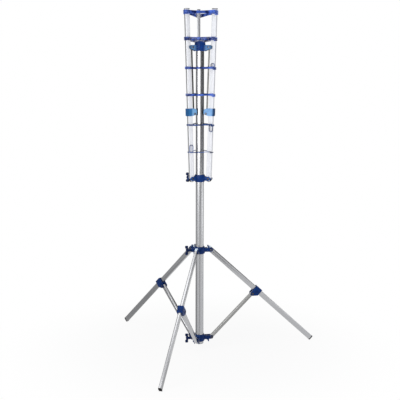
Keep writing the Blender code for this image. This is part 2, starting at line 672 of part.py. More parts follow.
def build_lines(holder):
    """Six slack lines wound round the folded arms, each one unbroken tube."""
    for index, (level, loops, share) in enumerate(zip(LINE_LEVELS, LINE_LOOPS, LINE_WAVE_SHARES), start=1):
        points = line_points(level, loops, share * LINE_WAVE)
        name = f"clothes_line_{index}"
        curve = bpy.data.curves.new(name, "CURVE")
        curve.dimensions = "3D"
        curve.bevel_depth = LINE_OD / 2
        curve.bevel_resolution = 1
        curve.use_fill_caps = True
        spline = curve.splines.new("POLY")
        spline.points.add(len(points) - 1)
        for spot, point in zip(spline.points, points):
            spot.co = (*point, 1.0)
        piece = bpy.data.objects.new(name, curve)
        bpy.context.scene.collection.objects.link(piece)
        piece.parent = holder
        curve.materials.append(finish(name, *CORD))
        length = sum((b - a).length for a, b in zip(points, points[1:]))
        print(f"{name}: {loops} loops, {length:.2f} m, least gap to itself {least_gap(points) / MM:.2f} mm")


def build_head():
    """Spider hub, sliding arm hub, arms, brackets and rods."""
    spider = empty("spider_frame", Matrix.Translation((0, 0, SPIDER_PIVOT_Z)))
    slide = empty("arm_hub_frame", Matrix.Translation((0, 0, ARM_PIVOT_Z)))
    cap_hub = hub_mesh(SEAT_GAP, ARM_AZIMUTHS, ARM_PIVOT_R, SPIDER_EYE_R, SPIDER_FORK, ARM_PIN_OD, crown=True)
    arm_hub = hub_mesh(ARM_HUB_GAP, ARM_AZIMUTHS, ARM_PIVOT_R, ARM_EYE_R, ARM_FORK, ARM_PIN_OD,
                       ARM_KNOB_AZIMUTH)
    place("spider_hub", cap_hub, spider, BLUE)
    place("arm_hub", arm_hub, slide, BLUE)
    build_knob("arm_hub", ARM_PIVOT_Z, ARM_KNOB_AZIMUTH, ARM_HUB_GAP)
    arm, bracket, head_rod = arm_mesh(), bracket_mesh(), rod_mesh()
    cap = end_plug(ARM_DEPTH, ARM_WIDTH, ARM_WALL, ARM_CORNER, ARM_CAP_FLANGE)
    arm_pin = rivet(ARM_PIN_OD, ARM_FORK + 2 * HUB_CHEEK)
    rod_pin = rivet(ARM_PIN_OD, SPIDER_FORK + 2 * HUB_CHEEK)
    bracket_pin = rivet(ARM_PIN_OD, BRACKET_FORK + 2 * BRACKET_CHEEK)
    for index, azimuth in enumerate(ARM_AZIMUTHS, start=1):
        frame = empty(f"arm_{index}_frame", plane_frame(azimuth, ARM_PIVOT_R, ARM_PIVOT_Z, ARM_LEAN))
        place(f"arm_tube_{index}", arm, frame, METAL)
        place(f"arm_end_cap_{index}", cap, frame, DARK, Matrix.Translation((0, 0, ARM_REACH)))
        place(f"arm_bracket_{index}", bracket, frame, BLUE)
        eye = Matrix.Translation((-BRACKET_DROP, 0, BRACKET_ALONG))
        place(f"arm_bracket_rivet_{index}", bracket_pin, frame, STEEL, eye)
        hang = empty(f"arm_rod_{index}_frame", plane_frame(azimuth, ARM_PIVOT_R, SPIDER_PIVOT_Z, ROD_LEAN))
        place(f"arm_rod_{index}", head_rod, hang, GUNMETAL)
        spin = turned(azimuth) @ Matrix.Translation((ARM_PIVOT_R, 0, 0))
        place(f"arm_rod_rivet_{index}", rod_pin, spider, STEEL, spin)
        place(f"arm_pivot_rivet_{index}", arm_pin, slide, STEEL, spin)


def build():
    clear_scene()
    mast = build_mast()
    build_tripod()
    build_head()
    build_lines(mast)
    print(f"floor at {FLOOR_Z / MM:.2f} mm")
    print(f"leg strut {STRUT_LENGTH / MM:.1f} mm, head rod {ROD_LENGTH / MM:.1f} mm")


build()
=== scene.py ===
# %% [markdown]
# # A folded clothes airer on its tripod
# The airer stands on three legs, and its three arms are folded up round the mast like a closed umbrella.
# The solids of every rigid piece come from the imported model, at their true size and place.
# This lesson lights them, rounds their edges, gives each one a finish, and winds the lines round the arms.

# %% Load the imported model
import bpy
import bmesh
import json
import math
from mathutils import Matrix, Vector


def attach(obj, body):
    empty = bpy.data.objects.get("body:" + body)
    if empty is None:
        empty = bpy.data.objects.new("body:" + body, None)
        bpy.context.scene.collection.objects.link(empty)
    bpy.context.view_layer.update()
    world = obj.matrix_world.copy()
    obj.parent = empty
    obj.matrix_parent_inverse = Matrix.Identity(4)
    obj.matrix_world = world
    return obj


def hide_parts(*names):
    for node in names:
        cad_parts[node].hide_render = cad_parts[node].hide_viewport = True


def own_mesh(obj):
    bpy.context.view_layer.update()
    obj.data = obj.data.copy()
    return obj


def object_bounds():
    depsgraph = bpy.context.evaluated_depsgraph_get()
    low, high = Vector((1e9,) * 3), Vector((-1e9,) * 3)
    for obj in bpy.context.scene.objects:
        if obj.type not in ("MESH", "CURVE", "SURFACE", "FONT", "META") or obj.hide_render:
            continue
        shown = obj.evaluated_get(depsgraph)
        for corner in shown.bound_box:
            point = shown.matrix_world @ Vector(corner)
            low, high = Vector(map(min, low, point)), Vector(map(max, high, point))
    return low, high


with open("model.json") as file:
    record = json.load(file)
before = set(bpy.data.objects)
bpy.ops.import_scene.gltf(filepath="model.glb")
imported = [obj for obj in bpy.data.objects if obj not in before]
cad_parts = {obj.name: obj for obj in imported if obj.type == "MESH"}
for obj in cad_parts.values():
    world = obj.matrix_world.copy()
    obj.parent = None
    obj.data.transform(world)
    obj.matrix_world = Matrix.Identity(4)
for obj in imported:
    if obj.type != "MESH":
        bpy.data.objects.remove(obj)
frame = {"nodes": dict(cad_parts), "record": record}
NODES = frame["nodes"]
BODIES = frame["record"]["behaviour"]["bodies"]
BODY_OF = {name: body for body, names in BODIES.items() for name in names}
CAD_LOW, CAD_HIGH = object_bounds()
print("solids:", len(NODES), "box", [round(v, 3) for v in (*CAD_LOW, *CAD_HIGH)])

# %% [markdown]
# ## The camera
# The photograph was taken from about chest height, some three and a half metres away, with a long lens.
# Its place was worked out by matching known points of the airer to where they fall in the picture.
# A camera in Blender looks down its own -Z, so it is tipped up by a right angle less the downward pitch.

# %% Camera
MM = 0.001
PICTURE_PIXELS = 400.0
FOCAL_PIXELS = 843.5
SENSOR = 36.0
EYE_PLACE = (1.2 * MM, -3517.6 * MM, 1237.3 * MM)
EYE_PITCH = 0.1703
EYE_ROLL = 0.002


def put(name, data):
    """New object of a camera, a lamp or a mesh, linked into the scene."""
    thing = bpy.data.objects.new(name, data)
    bpy.context.scene.collection.objects.link(thing)
    return thing


def build_camera():
    """Camera at the photograph's place, with its slight roll."""
    lens = bpy.data.cameras.new("photo_camera")
    lens.sensor_width = SENSOR
    lens.lens = SENSOR * FOCAL_PIXELS / PICTURE_PIXELS
    eye = put("photo_camera", lens)
    tip = Matrix.Rotation(math.pi / 2 - EYE_PITCH, 4, "X")
    eye.matrix_world = Matrix.Translation(EYE_PLACE) @ tip @ Matrix.Rotation(EYE_ROLL, 4, "Z")
    bpy.context.scene.camera = eye
    return eye


camera = build_camera()
print("camera lens", round(camera.data.lens, 1), "mm at", [round(v, 3) for v in EYE_PLACE])

# %% [markdown]
# ## Floor, surroundings and light
# The airer stands in a white studio sweep, so the floor runs up to white without an edge.
# Near the feet the floor is a real pale surface that keeps a soft contact shadow.
# Further out it turns into plain white for the camera and for reflections, as a lit paper sweep does.
# Materials are trees of nodes, so the first helpers make nodes and fill or link their inputs.

# %% Helpers for node trees


def new_material(name):
    """Empty node material and its node tree."""
    surface = bpy.data.materials.new(name)
    surface.use_nodes = True
    surface.node_tree.nodes.clear()
    return surface, surface.node_tree


def node(tree, kind, inputs=(), **settings):
    """Node of a kind; its inputs are plain values or outputs to link, and its settings go by name."""
    made = tree.nodes.new(kind)
    for key, value in settings.items():
        setattr(made, key, value)
    for key, value in dict(inputs).items():
        if isinstance(value, bpy.types.NodeSocket):
            tree.links.new(value, made.inputs[key])
        else:
            made.inputs[key].default_value = value
    return made


def math_node(tree, operation, *values):
    """Output of a Math node."""
    return node(tree, "ShaderNodeMath", enumerate(values), operation=operation).outputs[0]


def vector_node(tree, operation, *values):
    """Outputs of a Vector Math node."""
    return node(tree, "ShaderNodeVectorMath", enumerate(values), operation=operation).outputs


def map_range(tree, value, source, target=(0.0, 1.0), **settings):
    """Output of a Map Range node, which carries a value from one range into another."""
    labels = ("Value", "From Min", "From Max", "To Min", "To Max")
    inputs = zip(labels, (value, *source, *target))
    return node(tree, "ShaderNodeMapRange", inputs, **settings).outputs["Result"]


def set_surface(tree, inputs, kind="ShaderNodeBsdfPrincipled"):
    """Shader with those inputs as the surface of a material."""
    shader = node(tree, kind, inputs)
    node(tree, "ShaderNodeOutputMaterial", {"Surface": shader.outputs[0]})


def seen_directly(tree):
    """One for rays from the camera, mirrors and glass, and zero for light that bounces on."""
    path = node(tree, "ShaderNodeLightPath").outputs
    first = math_node(tree, "MAXIMUM", path["Is Camera Ray"], path["Is Glossy Ray"])
    return math_node(tree, "MAXIMUM", first, path["Is Transmission Ray"])


# %% Floor sweep
FLOOR_Z = CAD_LOW[2] - 0.2 * MM
FLOOR_HALF = 30.0
SHADOW_REACH = (0.25, 0.95)
SHADOW_FADE = 0.89
PAPER = (0.92, 0.92, 0.92, 1.0)
WHITE = (1.0, 1.0, 1.0, 1.0)


def mesh_of(name, form, surface):
    """Mesh of a finished form, in one material."""
    mesh = bpy.data.meshes.new(name)
    form.to_mesh(mesh)
    form.free()
    mesh.materials.append(surface)
    return mesh


def paper_floor():
    """Pale paper that fades to plain white away from the feet."""
    surface, tree = new_material("paper_floor")
    paper = node(tree, "ShaderNodeBsdfDiffuse", {"Color": PAPER}).outputs[0]
    white = node(tree, "ShaderNodeEmission", {"Color": WHITE}).outputs[0]
    place = node(tree, "ShaderNodeNewGeometry").outputs["Position"]
    reach = vector_node(tree, "LENGTH", place)["Value"]
    fade = map_range(tree, reach, SHADOW_REACH, (SHADOW_FADE, 1.0), interpolation_type="SMOOTHSTEP")
    mask = math_node(tree, "MULTIPLY", seen_directly(tree), fade)
    set_surface(tree, enumerate((mask, paper, white)), "ShaderNodeMixShader")
    return surface


def build_floor():
    """Flat floor of paper under the feet."""
    form = bmesh.new()
    bmesh.ops.create_grid(form, x_segments=1, y_segments=1, size=FLOOR_HALF)
    sweep_floor = put("floor", mesh_of("floor", form, paper_floor()))
    sweep_floor.location = (0.0, 0.0, FLOOR_Z)
    return sweep_floor


floor = build_floor()
print("floor at", round(floor.location.z, 4))

# %% World
ROOM_LIGHT = 0.42
ROOM_TINT = (0.97, 0.98, 1.0, 1.0)


def build_world():
    """White surroundings for the camera and reflections, and a gentler even light for surfaces."""
    world = bpy.data.worlds.new("studio")
    bpy.context.scene.world = world
    world.use_nodes = True
    tree = world.node_tree
    tree.nodes.clear()
    fill = node(tree, "ShaderNodeBackground", {"Color": ROOM_TINT, "Strength": ROOM_LIGHT}).outputs[0]
    white = node(tree, "ShaderNodeBackground", {"Color": WHITE}).outputs[0]
    mix = node(tree, "ShaderNodeMixShader", enumerate((seen_directly(tree), fill, white)))
    node(tree, "ShaderNodeOutputWorld", {"Surface": mix.outputs[0]})


build_world()
bpy.context.scene.view_settings.view_transform = "Standard"
print("room light", ROOM_LIGHT)

# %% [markdown]
# Four soft boxes light the airer. The large one stands to the left of the camera, a low one at the right,
# one hangs high on the left, and a fill lightens the shaded sides of the arms.
# Bright metal has no colour of its own and shows its surroundings, so a photographer also sets up cards
# that nothing but the metal sees. Here they are planes that only glossy rays meet. They give the mast its
# dark sides and the left leg its darker face.

# %% Soft boxes
LAMP_AIM = 0.75


def toward(angle, distance, height):
    """Spot round the mast; the angle runs to the right from the camera's side, in degrees."""
    turn = math.radians(angle)
    return Vector((distance * math.sin(turn), -distance * math.cos(turn), height))


def soft_box(name, place, size, watts, mirrored=True):
    """Rectangular area lamp that faces the middle of the airer, and may be kept out of reflections."""
    data = bpy.data.lights.new(name, "AREA")
    data.shape = "RECTANGLE"
    data.size, data.size_y = size
    data.energy = watts
    lamp = put(name, data)
    lamp.location = place
    lamp.rotation_mode = "QUATERNION"
    lamp.rotation_quaternion = (Vector((0.0, 0.0, LAMP_AIM)) - place).to_track_quat("-Z", "Y")
    lamp.visible_glossy = mirrored
    return lamp


lamps = [
    soft_box("key_box", toward(-32.0, 3.0, 1.2), (3.2, 1.8), 54.0),
    soft_box("low_box", toward(75.0, 2.4, 0.2), (1.6, 0.35), 2.4),
    soft_box("top_box", Vector((-1.2, -0.8, 3.1)), (1.6, 1.6), 11.0),
    soft_box("right_fill", toward(45.0, 3.0, 1.4), (1.6, 1.6), 19.0, mirrored=False),
]
print("lamps:", [(lamp.name, lamp.data.energy) for lamp in lamps])

# %% Studio cards
CARD_ON_FLOOR = FLOOR_Z + 1.0 * MM
LEFT_FLOOR = [(-3.0, -1.2), (-0.14, -0.10), (-0.14, 0.9), (-3.0, 0.9)]
FRONT_FLOOR = [(-1.1, -2.6), (0.9, -2.6), (0.12, -0.25), (-0.10, -0.25)]


def outward(azimuth):
    """Level unit vector at an azimuth."""
    return Vector((math.cos(azimuth), math.sin(azimuth), 0.0))


def upright(angle, distance, width, low, high):
    """Corners of an upright card that faces the mast."""
    middle = toward(angle, distance, 0.0)
    across = outward(math.radians(angle)) * width / 2
    left, right = middle - across, middle + across
    corners = ((left, low), (right, low), (right, high), (left, high))
    return [(spot[0], spot[1], height) for spot, height in corners]


def on_floor(outline):
    """Corners of a card that lies on the floor."""
    return [(x, y, CARD_ON_FLOOR) for x, y in outline]


def studio_card(name, corners, grey):
    """Card that shows in reflections alone, at a grey of its own."""
    form = bmesh.new()
    form.faces.new([form.verts.new(corner) for corner in corners])
    surface, tree = new_material(name)
    set_surface(tree, {"Color": (grey, grey, grey, 1.0)}, "ShaderNodeEmission")
    card = put(name, mesh_of(name, form, surface))
    for ray in ("camera", "diffuse", "transmission", "shadow"):
        setattr(card, f"visible_{ray}", False)
    return card


cards = [
    studio_card("left_card", upright(-98.0, 1.7, 1.9, FLOOR_Z, 0.50), 0.58),
    studio_card("upper_left_card", upright(-98.0, 1.7, 1.9, 0.50, 2.8), 0.24),
    studio_card("left_floor_card", on_floor(LEFT_FLOOR), 0.45),
    studio_card("front_floor_card", on_floor(FRONT_FLOOR), 0.70),
    studio_card("right_card", upright(48.0, 2.4, 1.9, 0.42, 2.8), 0.16),
    studio_card("far_right_card", upright(109.0, 2.4, 3.2, 0.42, 2.8), 0.10),
    studio_card("middle_card", upright(10.0, 2.0, 1.8, 0.16, 0.50), 0.42),
    studio_card("back_right_card", upright(150.0, 2.2, 1.2, FLOOR_Z, 0.60), 0.45),
]
print("cards:", [card.name for card in cards])

# %% [markdown]
# ## Effects that several finishes share
# Drawn aluminium carries fine lines along its length, because it was pulled through a die.
# Moulded plastic has a faint mottle, edges lightened by a painted highlight, and bands of tone painted in by
# distance from the mast, as painted light and shade.
# Each effect is a shader node group, built once, so that every material can use it with its own values.

# %% Drawn lines group
DRAW_SQUEEZE = (1.0, 1.0, 0.012)
DRAWN_PER_METRE = 900.0
BROAD_SCALE = 14.0
FINE_SHARE = 0.7


def open_group(name, **inputs):
    """New shader group and its inputs, each with a number, or None for a vector."""
    tree = bpy.data.node_groups.new(name, "ShaderNodeTree")
    for label, value in inputs.items():
        kind = "NodeSocketVector" if value is None else "NodeSocketFloat"
        socket = tree.interface.new_socket(label, in_out="INPUT", socket_type=kind)
        if value is not None:
            socket.default_value = value
    return tree, node(tree, "NodeGroupInput").outputs


def close_group(tree, **outputs):
    """Give a shader group its outputs, each of the kind that feeds it."""
    for label, value in outputs.items():
        kind = "NodeSocketVector" if value.type == "VECTOR" else "NodeSocketFloat"
        tree.interface.new_socket(label, in_out="OUTPUT", socket_type=kind)
    node(tree, "NodeGroupOutput", outputs)
    return tree


def noise(tree, vector, scale, detail, roughness=0.5):
    """Value of a Noise Texture node."""
    inputs = {"Vector": vector, "Scale": scale, "Detail": detail, "Roughness": roughness}
    return node(tree, "ShaderNodeTexNoise", inputs).outputs["Fac"]


def weighted_sum(tree, a, a_share, b, b_share):
    """Sum of two values, each times its share."""
    return math_node(tree, "ADD", math_node(tree, "MULTIPLY", a, a_share),
                     math_node(tree, "MULTIPLY", b, b_share))


def build_drawn_lines():
    """Fine lines along Z of the given vector, as a mask and as a height."""
    tree, entry = open_group("drawn_lines", Vector=None, Lines=DRAWN_PER_METRE)
    squeezed = vector_node(tree, "MULTIPLY", entry["Vector"], DRAW_SQUEEZE)[0]
    fine = noise(tree, squeezed, entry["Lines"], detail=3.0, roughness=0.6)
    broad = noise(tree, entry["Vector"], BROAD_SCALE, detail=2.0)
    return close_group(tree, Mask=weighted_sum(tree, fine, FINE_SHARE, broad, 1.0 - FINE_SHARE), Height=fine)


DRAWN_LINES = build_drawn_lines()
print("group:", DRAWN_LINES.name)

# %% Mottle group
MOTTLE_SCALE = 45.0
PLASTIC_GRAIN = 900.0


def build_mottle():
    """Slow and fine mottle of moulded plastic, as a mask and as a height."""
    tree, entry = open_group("moulded_mottle", Vector=None, Grain=PLASTIC_GRAIN)
    slow = noise(tree, entry["Vector"], MOTTLE_SCALE, detail=4.0)
    grain = noise(tree, entry["Vector"], entry["Grain"], detail=2.0)
    return close_group(tree, Mask=slow, Height=grain)


MOTTLE = build_mottle()
print("group:", MOTTLE.name)

# %% Edge group
PLASTIC_EDGE = 1.2 * MM
EDGE_AGREEMENT = (0.995, 0.75)


def build_edge_glint():
    """Mask of a form's sharp edges, which a painted highlight lightens, and the rounded normal."""
    tree, entry = open_group("edge_glint", Width=PLASTIC_EDGE)
    soft = node(tree, "ShaderNodeBevel", {"Radius": entry["Width"]}, samples=6).outputs["Normal"]
    plain = node(tree, "ShaderNodeNewGeometry").outputs["Normal"]
    agree = vector_node(tree, "DOT_PRODUCT", soft, plain)["Value"]
    return close_group(tree, Mask=map_range(tree, agree, EDGE_AGREEMENT), Normal=soft)


EDGE_GLINT = build_edge_glint()
print("group:", EDGE_GLINT.name)

# %% Reach group
LEVEL_ONLY = (1.0, 1.0, 0.0)


def build_reach():
    """Mask that runs from zero to one between two distances from the mast's axis."""
    tree, entry = open_group("reach_from_mast", Vector=None, Start=20.0 * MM, End=40.0 * MM)
    level = vector_node(tree, "MULTIPLY", entry["Vector"], LEVEL_ONLY)[0]
    reach = vector_node(tree, "LENGTH", level)["Value"]
    ends = (entry["Start"], entry["End"])
    return close_group(tree, Mask=map_range(tree, reach, ends, interpolation_type="SMOOTHSTEP"))


REACH = build_reach()
print("group:", REACH.name)

# %% [markdown]
# ## The tubes of the mast and the tripod
# These tubes are satin aluminium. Their lines run along each tube, so the texture's own Z must follow it.
# A Mapping node turns the coordinates into the tube's frame: upright for the mast, and tilted for the legs
# and struts.

# %% Aluminium
MASK_MIDDLE = (0.3, 0.7)
TUBE_LOW = (0.43, 0.435, 0.45)
TUBE_HIGH = (0.48, 0.485, 0.50)
TUBE_ROUGH = (0.215, 0.25)
TUBE_RELIEF = (0.012, 0.2 * MM)


def place_group(tree, group, **inputs):
    """Outputs of a group node with those inputs."""
    return node(tree, "ShaderNodeGroup", inputs, node_tree=group).outputs


def blend(tree, mask, low, high):
    """Two colours, plain or from sockets, mixed by a mask."""
    ends = [(*end, 1.0) if isinstance(end, tuple) else end for end in (low, high)]
    inputs = {"Factor": mask, "A": ends[0], "B": ends[1]}
    return node(tree, "ShaderNodeMix", inputs, data_type="RGBA").outputs["Result"]


def spread(tree, mask, low=0.0, high=1.0):
    """Number that runs from low to high over the middle of a mask."""
    return map_range(tree, mask, MASK_MIDDLE, (low, high))


def along_tube(tree, azimuth, tilt):
    """Coordinates turned so that Z follows a tube of that azimuth and tilt."""
    spot = node(tree, "ShaderNodeTexCoord").outputs["Object"]
    into = Matrix.Rotation(-tilt, 3, "Y") @ Matrix.Rotation(-azimuth, 3, "Z")
    inputs = {"Vector": spot, "Rotation": into.to_euler("XYZ")}
    return node(tree, "ShaderNodeMapping", inputs).outputs["Vector"]


def relief(tree, height, strength, depth, edge_normal=None):
    """Normal with the bump of a height, over rounded edges where their normal is given."""
    inputs = {"Height": height, "Strength": strength, "Distance": depth}
    if edge_normal is not None:
        inputs["Normal"] = edge_normal
    return node(tree, "ShaderNodeBump", inputs).outputs["Normal"]


def drawn_aluminium(name, azimuth, tilt, low=TUBE_LOW, high=TUBE_HIGH, rough=TUBE_ROUGH):
    """Satin drawn aluminium whose lines follow a tube of that azimuth and tilt."""
    surface, tree = new_material(name)
    lines = place_group(tree, DRAWN_LINES, Vector=along_tube(tree, azimuth, tilt))
    set_surface(tree, {
        "Metallic": 1.0,
        "Base Color": blend(tree, spread(tree, lines["Mask"]), low, high),
        "Roughness": spread(tree, lines["Mask"], *rough),
        "Normal": relief(tree, lines["Height"], *TUBE_RELIEF)})
    return surface


def dress(surface, *names):
    """Give solids their finish."""
    for name in names:
        slots = NODES[name].data.materials
        slots.clear()
        slots.append(surface)


# %% Tubes of the mast and the tripod
LEG_AZIMUTHS = [math.radians(13.16 + 120.0 * i) for i in range(3)]
LEG_TILT = math.radians(-47.17)
STRUT_TILT = math.radians(45.09)
# The right strut gets darker tones and a rougher finish than the other two, a painted shade on one of three
# alike struts.
STRUT_PAINTED_SHADE = ((0.29, 0.29, 0.285), (0.39, 0.39, 0.385), (0.28, 0.40))
STRUT_SHADE_TONES = (STRUT_PAINTED_SHADE, (), ())
dress(drawn_aluminium("mast_aluminium", 0.0, 0.0), "mast_tube")
for i, azimuth in enumerate(LEG_AZIMUTHS, start=1):
    dress(drawn_aluminium(f"leg_aluminium_{i}", azimuth, LEG_TILT), f"leg_tube_{i}")
    strut_metal = drawn_aluminium(f"strut_aluminium_{i}", azimuth, STRUT_TILT, *STRUT_SHADE_TONES[i - 1])
    dress(strut_metal, f"leg_strut_{i}")
print("aluminium tubes dressed:", 1 + 2 * len(LEG_AZIMUTHS))

# %% [markdown]
# ## The arms
# The arms are paler than the mast: their broad sides have a bright satin coating. Their narrow edges carry a
# painted shade, grey and metallic on the back and left arms; on the right arm the coating wraps round, its
# edges get a faint painted shade and its sides a slightly darker one. A mask from each face's own direction
# tells the two apart, so the finish and its painted shade stay on their faces when an arm swings.

# %% Arm finish
ARM_AZIMUTHS = [math.radians(335.0 + 120.0 * i) for i in range(3)]
ARM_TILT = math.radians(1.96)
ARM_WHITE = ((0.80, 0.81, 0.85), (0.88, 0.89, 0.92))
ARM_EDGE_SHADE = ((0.33, 0.335, 0.35), (0.46, 0.465, 0.48))
ARM_EDGE_HALF_SHADE = ((0.46, 0.465, 0.48), (0.58, 0.585, 0.60))
ARM_EDGE_FAINT_SHADE = ((0.62, 0.63, 0.67), (0.74, 0.75, 0.79))
ARM_SIDE_SHADE = ((0.70, 0.71, 0.75), (0.78, 0.79, 0.82))
# Per arm: side tones, edge tones, and how metallic the edges are. Each arm gets its own painted shade: grey
# edges on the back arm, lighter ones on the left, faint edges and darker sides on the right.
ARM_PAINTED_TONES = ((ARM_SIDE_SHADE, ARM_EDGE_FAINT_SHADE, 0.0), (ARM_WHITE, ARM_EDGE_SHADE, 1.0), (ARM_WHITE, ARM_EDGE_HALF_SHADE, 0.9))
ARM_ROUGH = (0.30, 0.44)
ARM_RELIEF = (0.04, 0.2 * MM)
NARROW_FACING = (0.55, 0.85)


def arm_finish(name, azimuth, side_tones, edge_tones, edge_metallic):
    """Bright coating on an arm's broad sides; its narrow edges get a painted shade and may be metallic."""
    surface, tree = new_material(name)
    lines = place_group(tree, DRAWN_LINES, Vector=along_tube(tree, azimuth, ARM_TILT))
    face = node(tree, "ShaderNodeTexCoord").outputs["Normal"]
    facing = vector_node(tree, "DOT_PRODUCT", face, outward(azimuth))["Value"]
    # Mask of the narrow faces, which carry the painted shade.
    narrow = map_range(tree, math_node(tree, "ABSOLUTE", facing), NARROW_FACING)
    shine = spread(tree, lines["Mask"])
    set_surface(tree, {
        "Metallic": math_node(tree, "MULTIPLY", narrow, edge_metallic),
        "Base Color": blend(tree, narrow, blend(tree, shine, *side_tones), blend(tree, shine, *edge_tones)),
        "Roughness": spread(tree, lines["Mask"], *ARM_ROUGH),
        "Normal": relief(tree, lines["Height"], *ARM_RELIEF)})
    return surface


for i, azimuth in enumerate(ARM_AZIMUTHS, start=1):
    dress(arm_finish(f"arm_coating_{i}", azimuth, *ARM_PAINTED_TONES[i - 1]), f"arm_tube_{i}")
print("arms dressed:", len(ARM_AZIMUTHS))

# %% [markdown]
# ## Plastic
# The hubs, collars and knobs are deep blue moulded plastic with a half gloss, and the arm brackets are paler.
# Bands of tone are painted in by distance from the mast: paler lobes and ears are painted light, darker outer
# webs are painted shade, and some tips are painted darker.
# A thin coat of gloss over a slightly rough base gives the soft highlight that injection moulding has.

# %% Moulded plastic
COAT_ROUGH = 0.18
PLASTIC_GLOSS = 0.08
PLASTIC_RELIEF = (0.15, 0.3 * MM)


def moulded_plastic(name, low, high, glint_colour, rough, coat, zones=(), gloss=PLASTIC_GLOSS):
    """Moulded plastic with a mottle and a painted highlight on its edges; a zone is two reaches from the mast
    and a colour that paints light and shade there.
    """
    surface, tree = new_material(name)
    spot = node(tree, "ShaderNodeTexCoord").outputs["Object"]
    mottle = place_group(tree, MOTTLE, Vector=spot)
    tone = blend(tree, spread(tree, mottle["Mask"]), low, high)
    for start, end, colour in zones:
        reach = place_group(tree, REACH, Vector=spot, Start=start * MM, End=end * MM)
        tone = blend(tree, reach["Mask"], tone, colour)
    edge = place_group(tree, EDGE_GLINT, Width=PLASTIC_EDGE)
    # Painted highlight: the edge mask, made patchy by the mottle, mixes the edge colour into the tone.
    glint_mask = math_node(tree, "MULTIPLY", edge["Mask"], mottle["Mask"])
    set_surface(tree, {
        "Coat Weight": coat,
        "Coat Roughness": COAT_ROUGH,
        "Specular IOR Level": gloss,
        "Base Color": blend(tree, glint_mask, tone, glint_colour),
        "Roughness": spread(tree, mottle["Mask"], *rough),
        "Normal": relief(tree, mottle["Height"], *PLASTIC_RELIEF, edge["Normal"])})
    return surface


# %% Blue plastics
# Pale blue painted highlight for the edges of the blue mouldings.
EDGE_GLINT_BLUE = (0.06, 0.17, 0.44)
HUB_ROUGH = (0.26, 0.38)
HUB_COAT = 0.03
HUB_BLUE = moulded_plastic(
    "hub_blue", (0.002, 0.014, 0.075), (0.005, 0.034, 0.165), EDGE_GLINT_BLUE, HUB_ROUGH, HUB_COAT)
# Paler ears of the arm hub: painted light.
ARM_EAR_PAINTED_LIGHT = (30.0, 48.0, (0.016, 0.066, 0.24))
ARM_HUB_BLUE = moulded_plastic(
    "arm_hub_blue", (0.002, 0.020, 0.11), (0.007, 0.044, 0.21), EDGE_GLINT_BLUE, HUB_ROUGH, HUB_COAT,
    [ARM_EAR_PAINTED_LIGHT])
# Paler ears of the spider are painted light, and its ear tips are darker.
SPIDER_EAR_PAINTED_LIGHT = (22.0, 36.0, (0.10, 0.22, 0.43))
SPIDER_TIP_TONE = (46.0, 58.0, (0.05, 0.10, 0.18))
SPIDER_BLUE = moulded_plastic(
    "spider_blue", (0.002, 0.018, 0.10), (0.008, 0.050, 0.25), (0.08, 0.20, 0.48), (0.24, 0.36), HUB_COAT,
    [SPIDER_EAR_PAINTED_LIGHT, SPIDER_TIP_TONE])
KNOB_BLUE = moulded_plastic(
    "knob_blue", (0.003, 0.009, 0.040), (0.007, 0.020, 0.085), (0.02, 0.06, 0.17), (0.30, 0.42), 0.02)
dress(HUB_BLUE, "tripod_base_hub", "tripod_slide_hub", "leg_collar_1", "leg_collar_2", "leg_collar_3")
dress(ARM_HUB_BLUE, "arm_hub")
dress(SPIDER_BLUE, "spider_hub")
dress(KNOB_BLUE, "tripod_base_knob", "tripod_slide_knob", "arm_hub_knob")
print("blue plastics:", [m.name for m in (HUB_BLUE, ARM_HUB_BLUE, SPIDER_BLUE, KNOB_BLUE)])

# %% Brackets with painted light and shade
BRACKET_ROUGH = (0.22, 0.34)
BRACKET_COAT = 0.15
# The pale base tone of the brackets is painted light on their lobes. The fork root zone carries the brackets'
# own mid blue, the outer web zones are painted shade, and the fork tips by the mast are darker.
FORK_TIP_TONE = (27.0, 20.5, (0.015, 0.035, 0.08))
FORK_ROOT_TONE = (42.0, 50.0, (0.03, 0.155, 0.38))
WEB_PAINTED_SHADE = (60.0, 64.0, (0.012, 0.055, 0.16))
SOFT_WEB_PAINTED_SHADE = (58.0, 66.0, (0.016, 0.09, 0.24))
BRACKET_HALF_LIT = moulded_plastic(
    "bracket_half_lit_blue", (0.14, 0.34, 0.62), (0.24, 0.48, 0.80), (0.32, 0.56, 0.86), BRACKET_ROUGH, BRACKET_COAT,
    [FORK_TIP_TONE, FORK_ROOT_TONE, SOFT_WEB_PAINTED_SHADE])
BRACKET_LIT = moulded_plastic(
    "bracket_lit_blue", (0.12, 0.29, 0.57), (0.25, 0.45, 0.76), (0.38, 0.58, 0.85), BRACKET_ROUGH,
    BRACKET_COAT, [FORK_TIP_TONE, WEB_PAINTED_SHADE])
# The right arm's bracket takes the lit copy, with no mid-blue zone, and the other two take the half-lit one.
dress(BRACKET_LIT, "arm_bracket_1")
dress(BRACKET_HALF_LIT, "arm_bracket_2", "arm_bracket_3")
print("bracket plastics:", BRACKET_HALF_LIT.name, BRACKET_LIT.name)

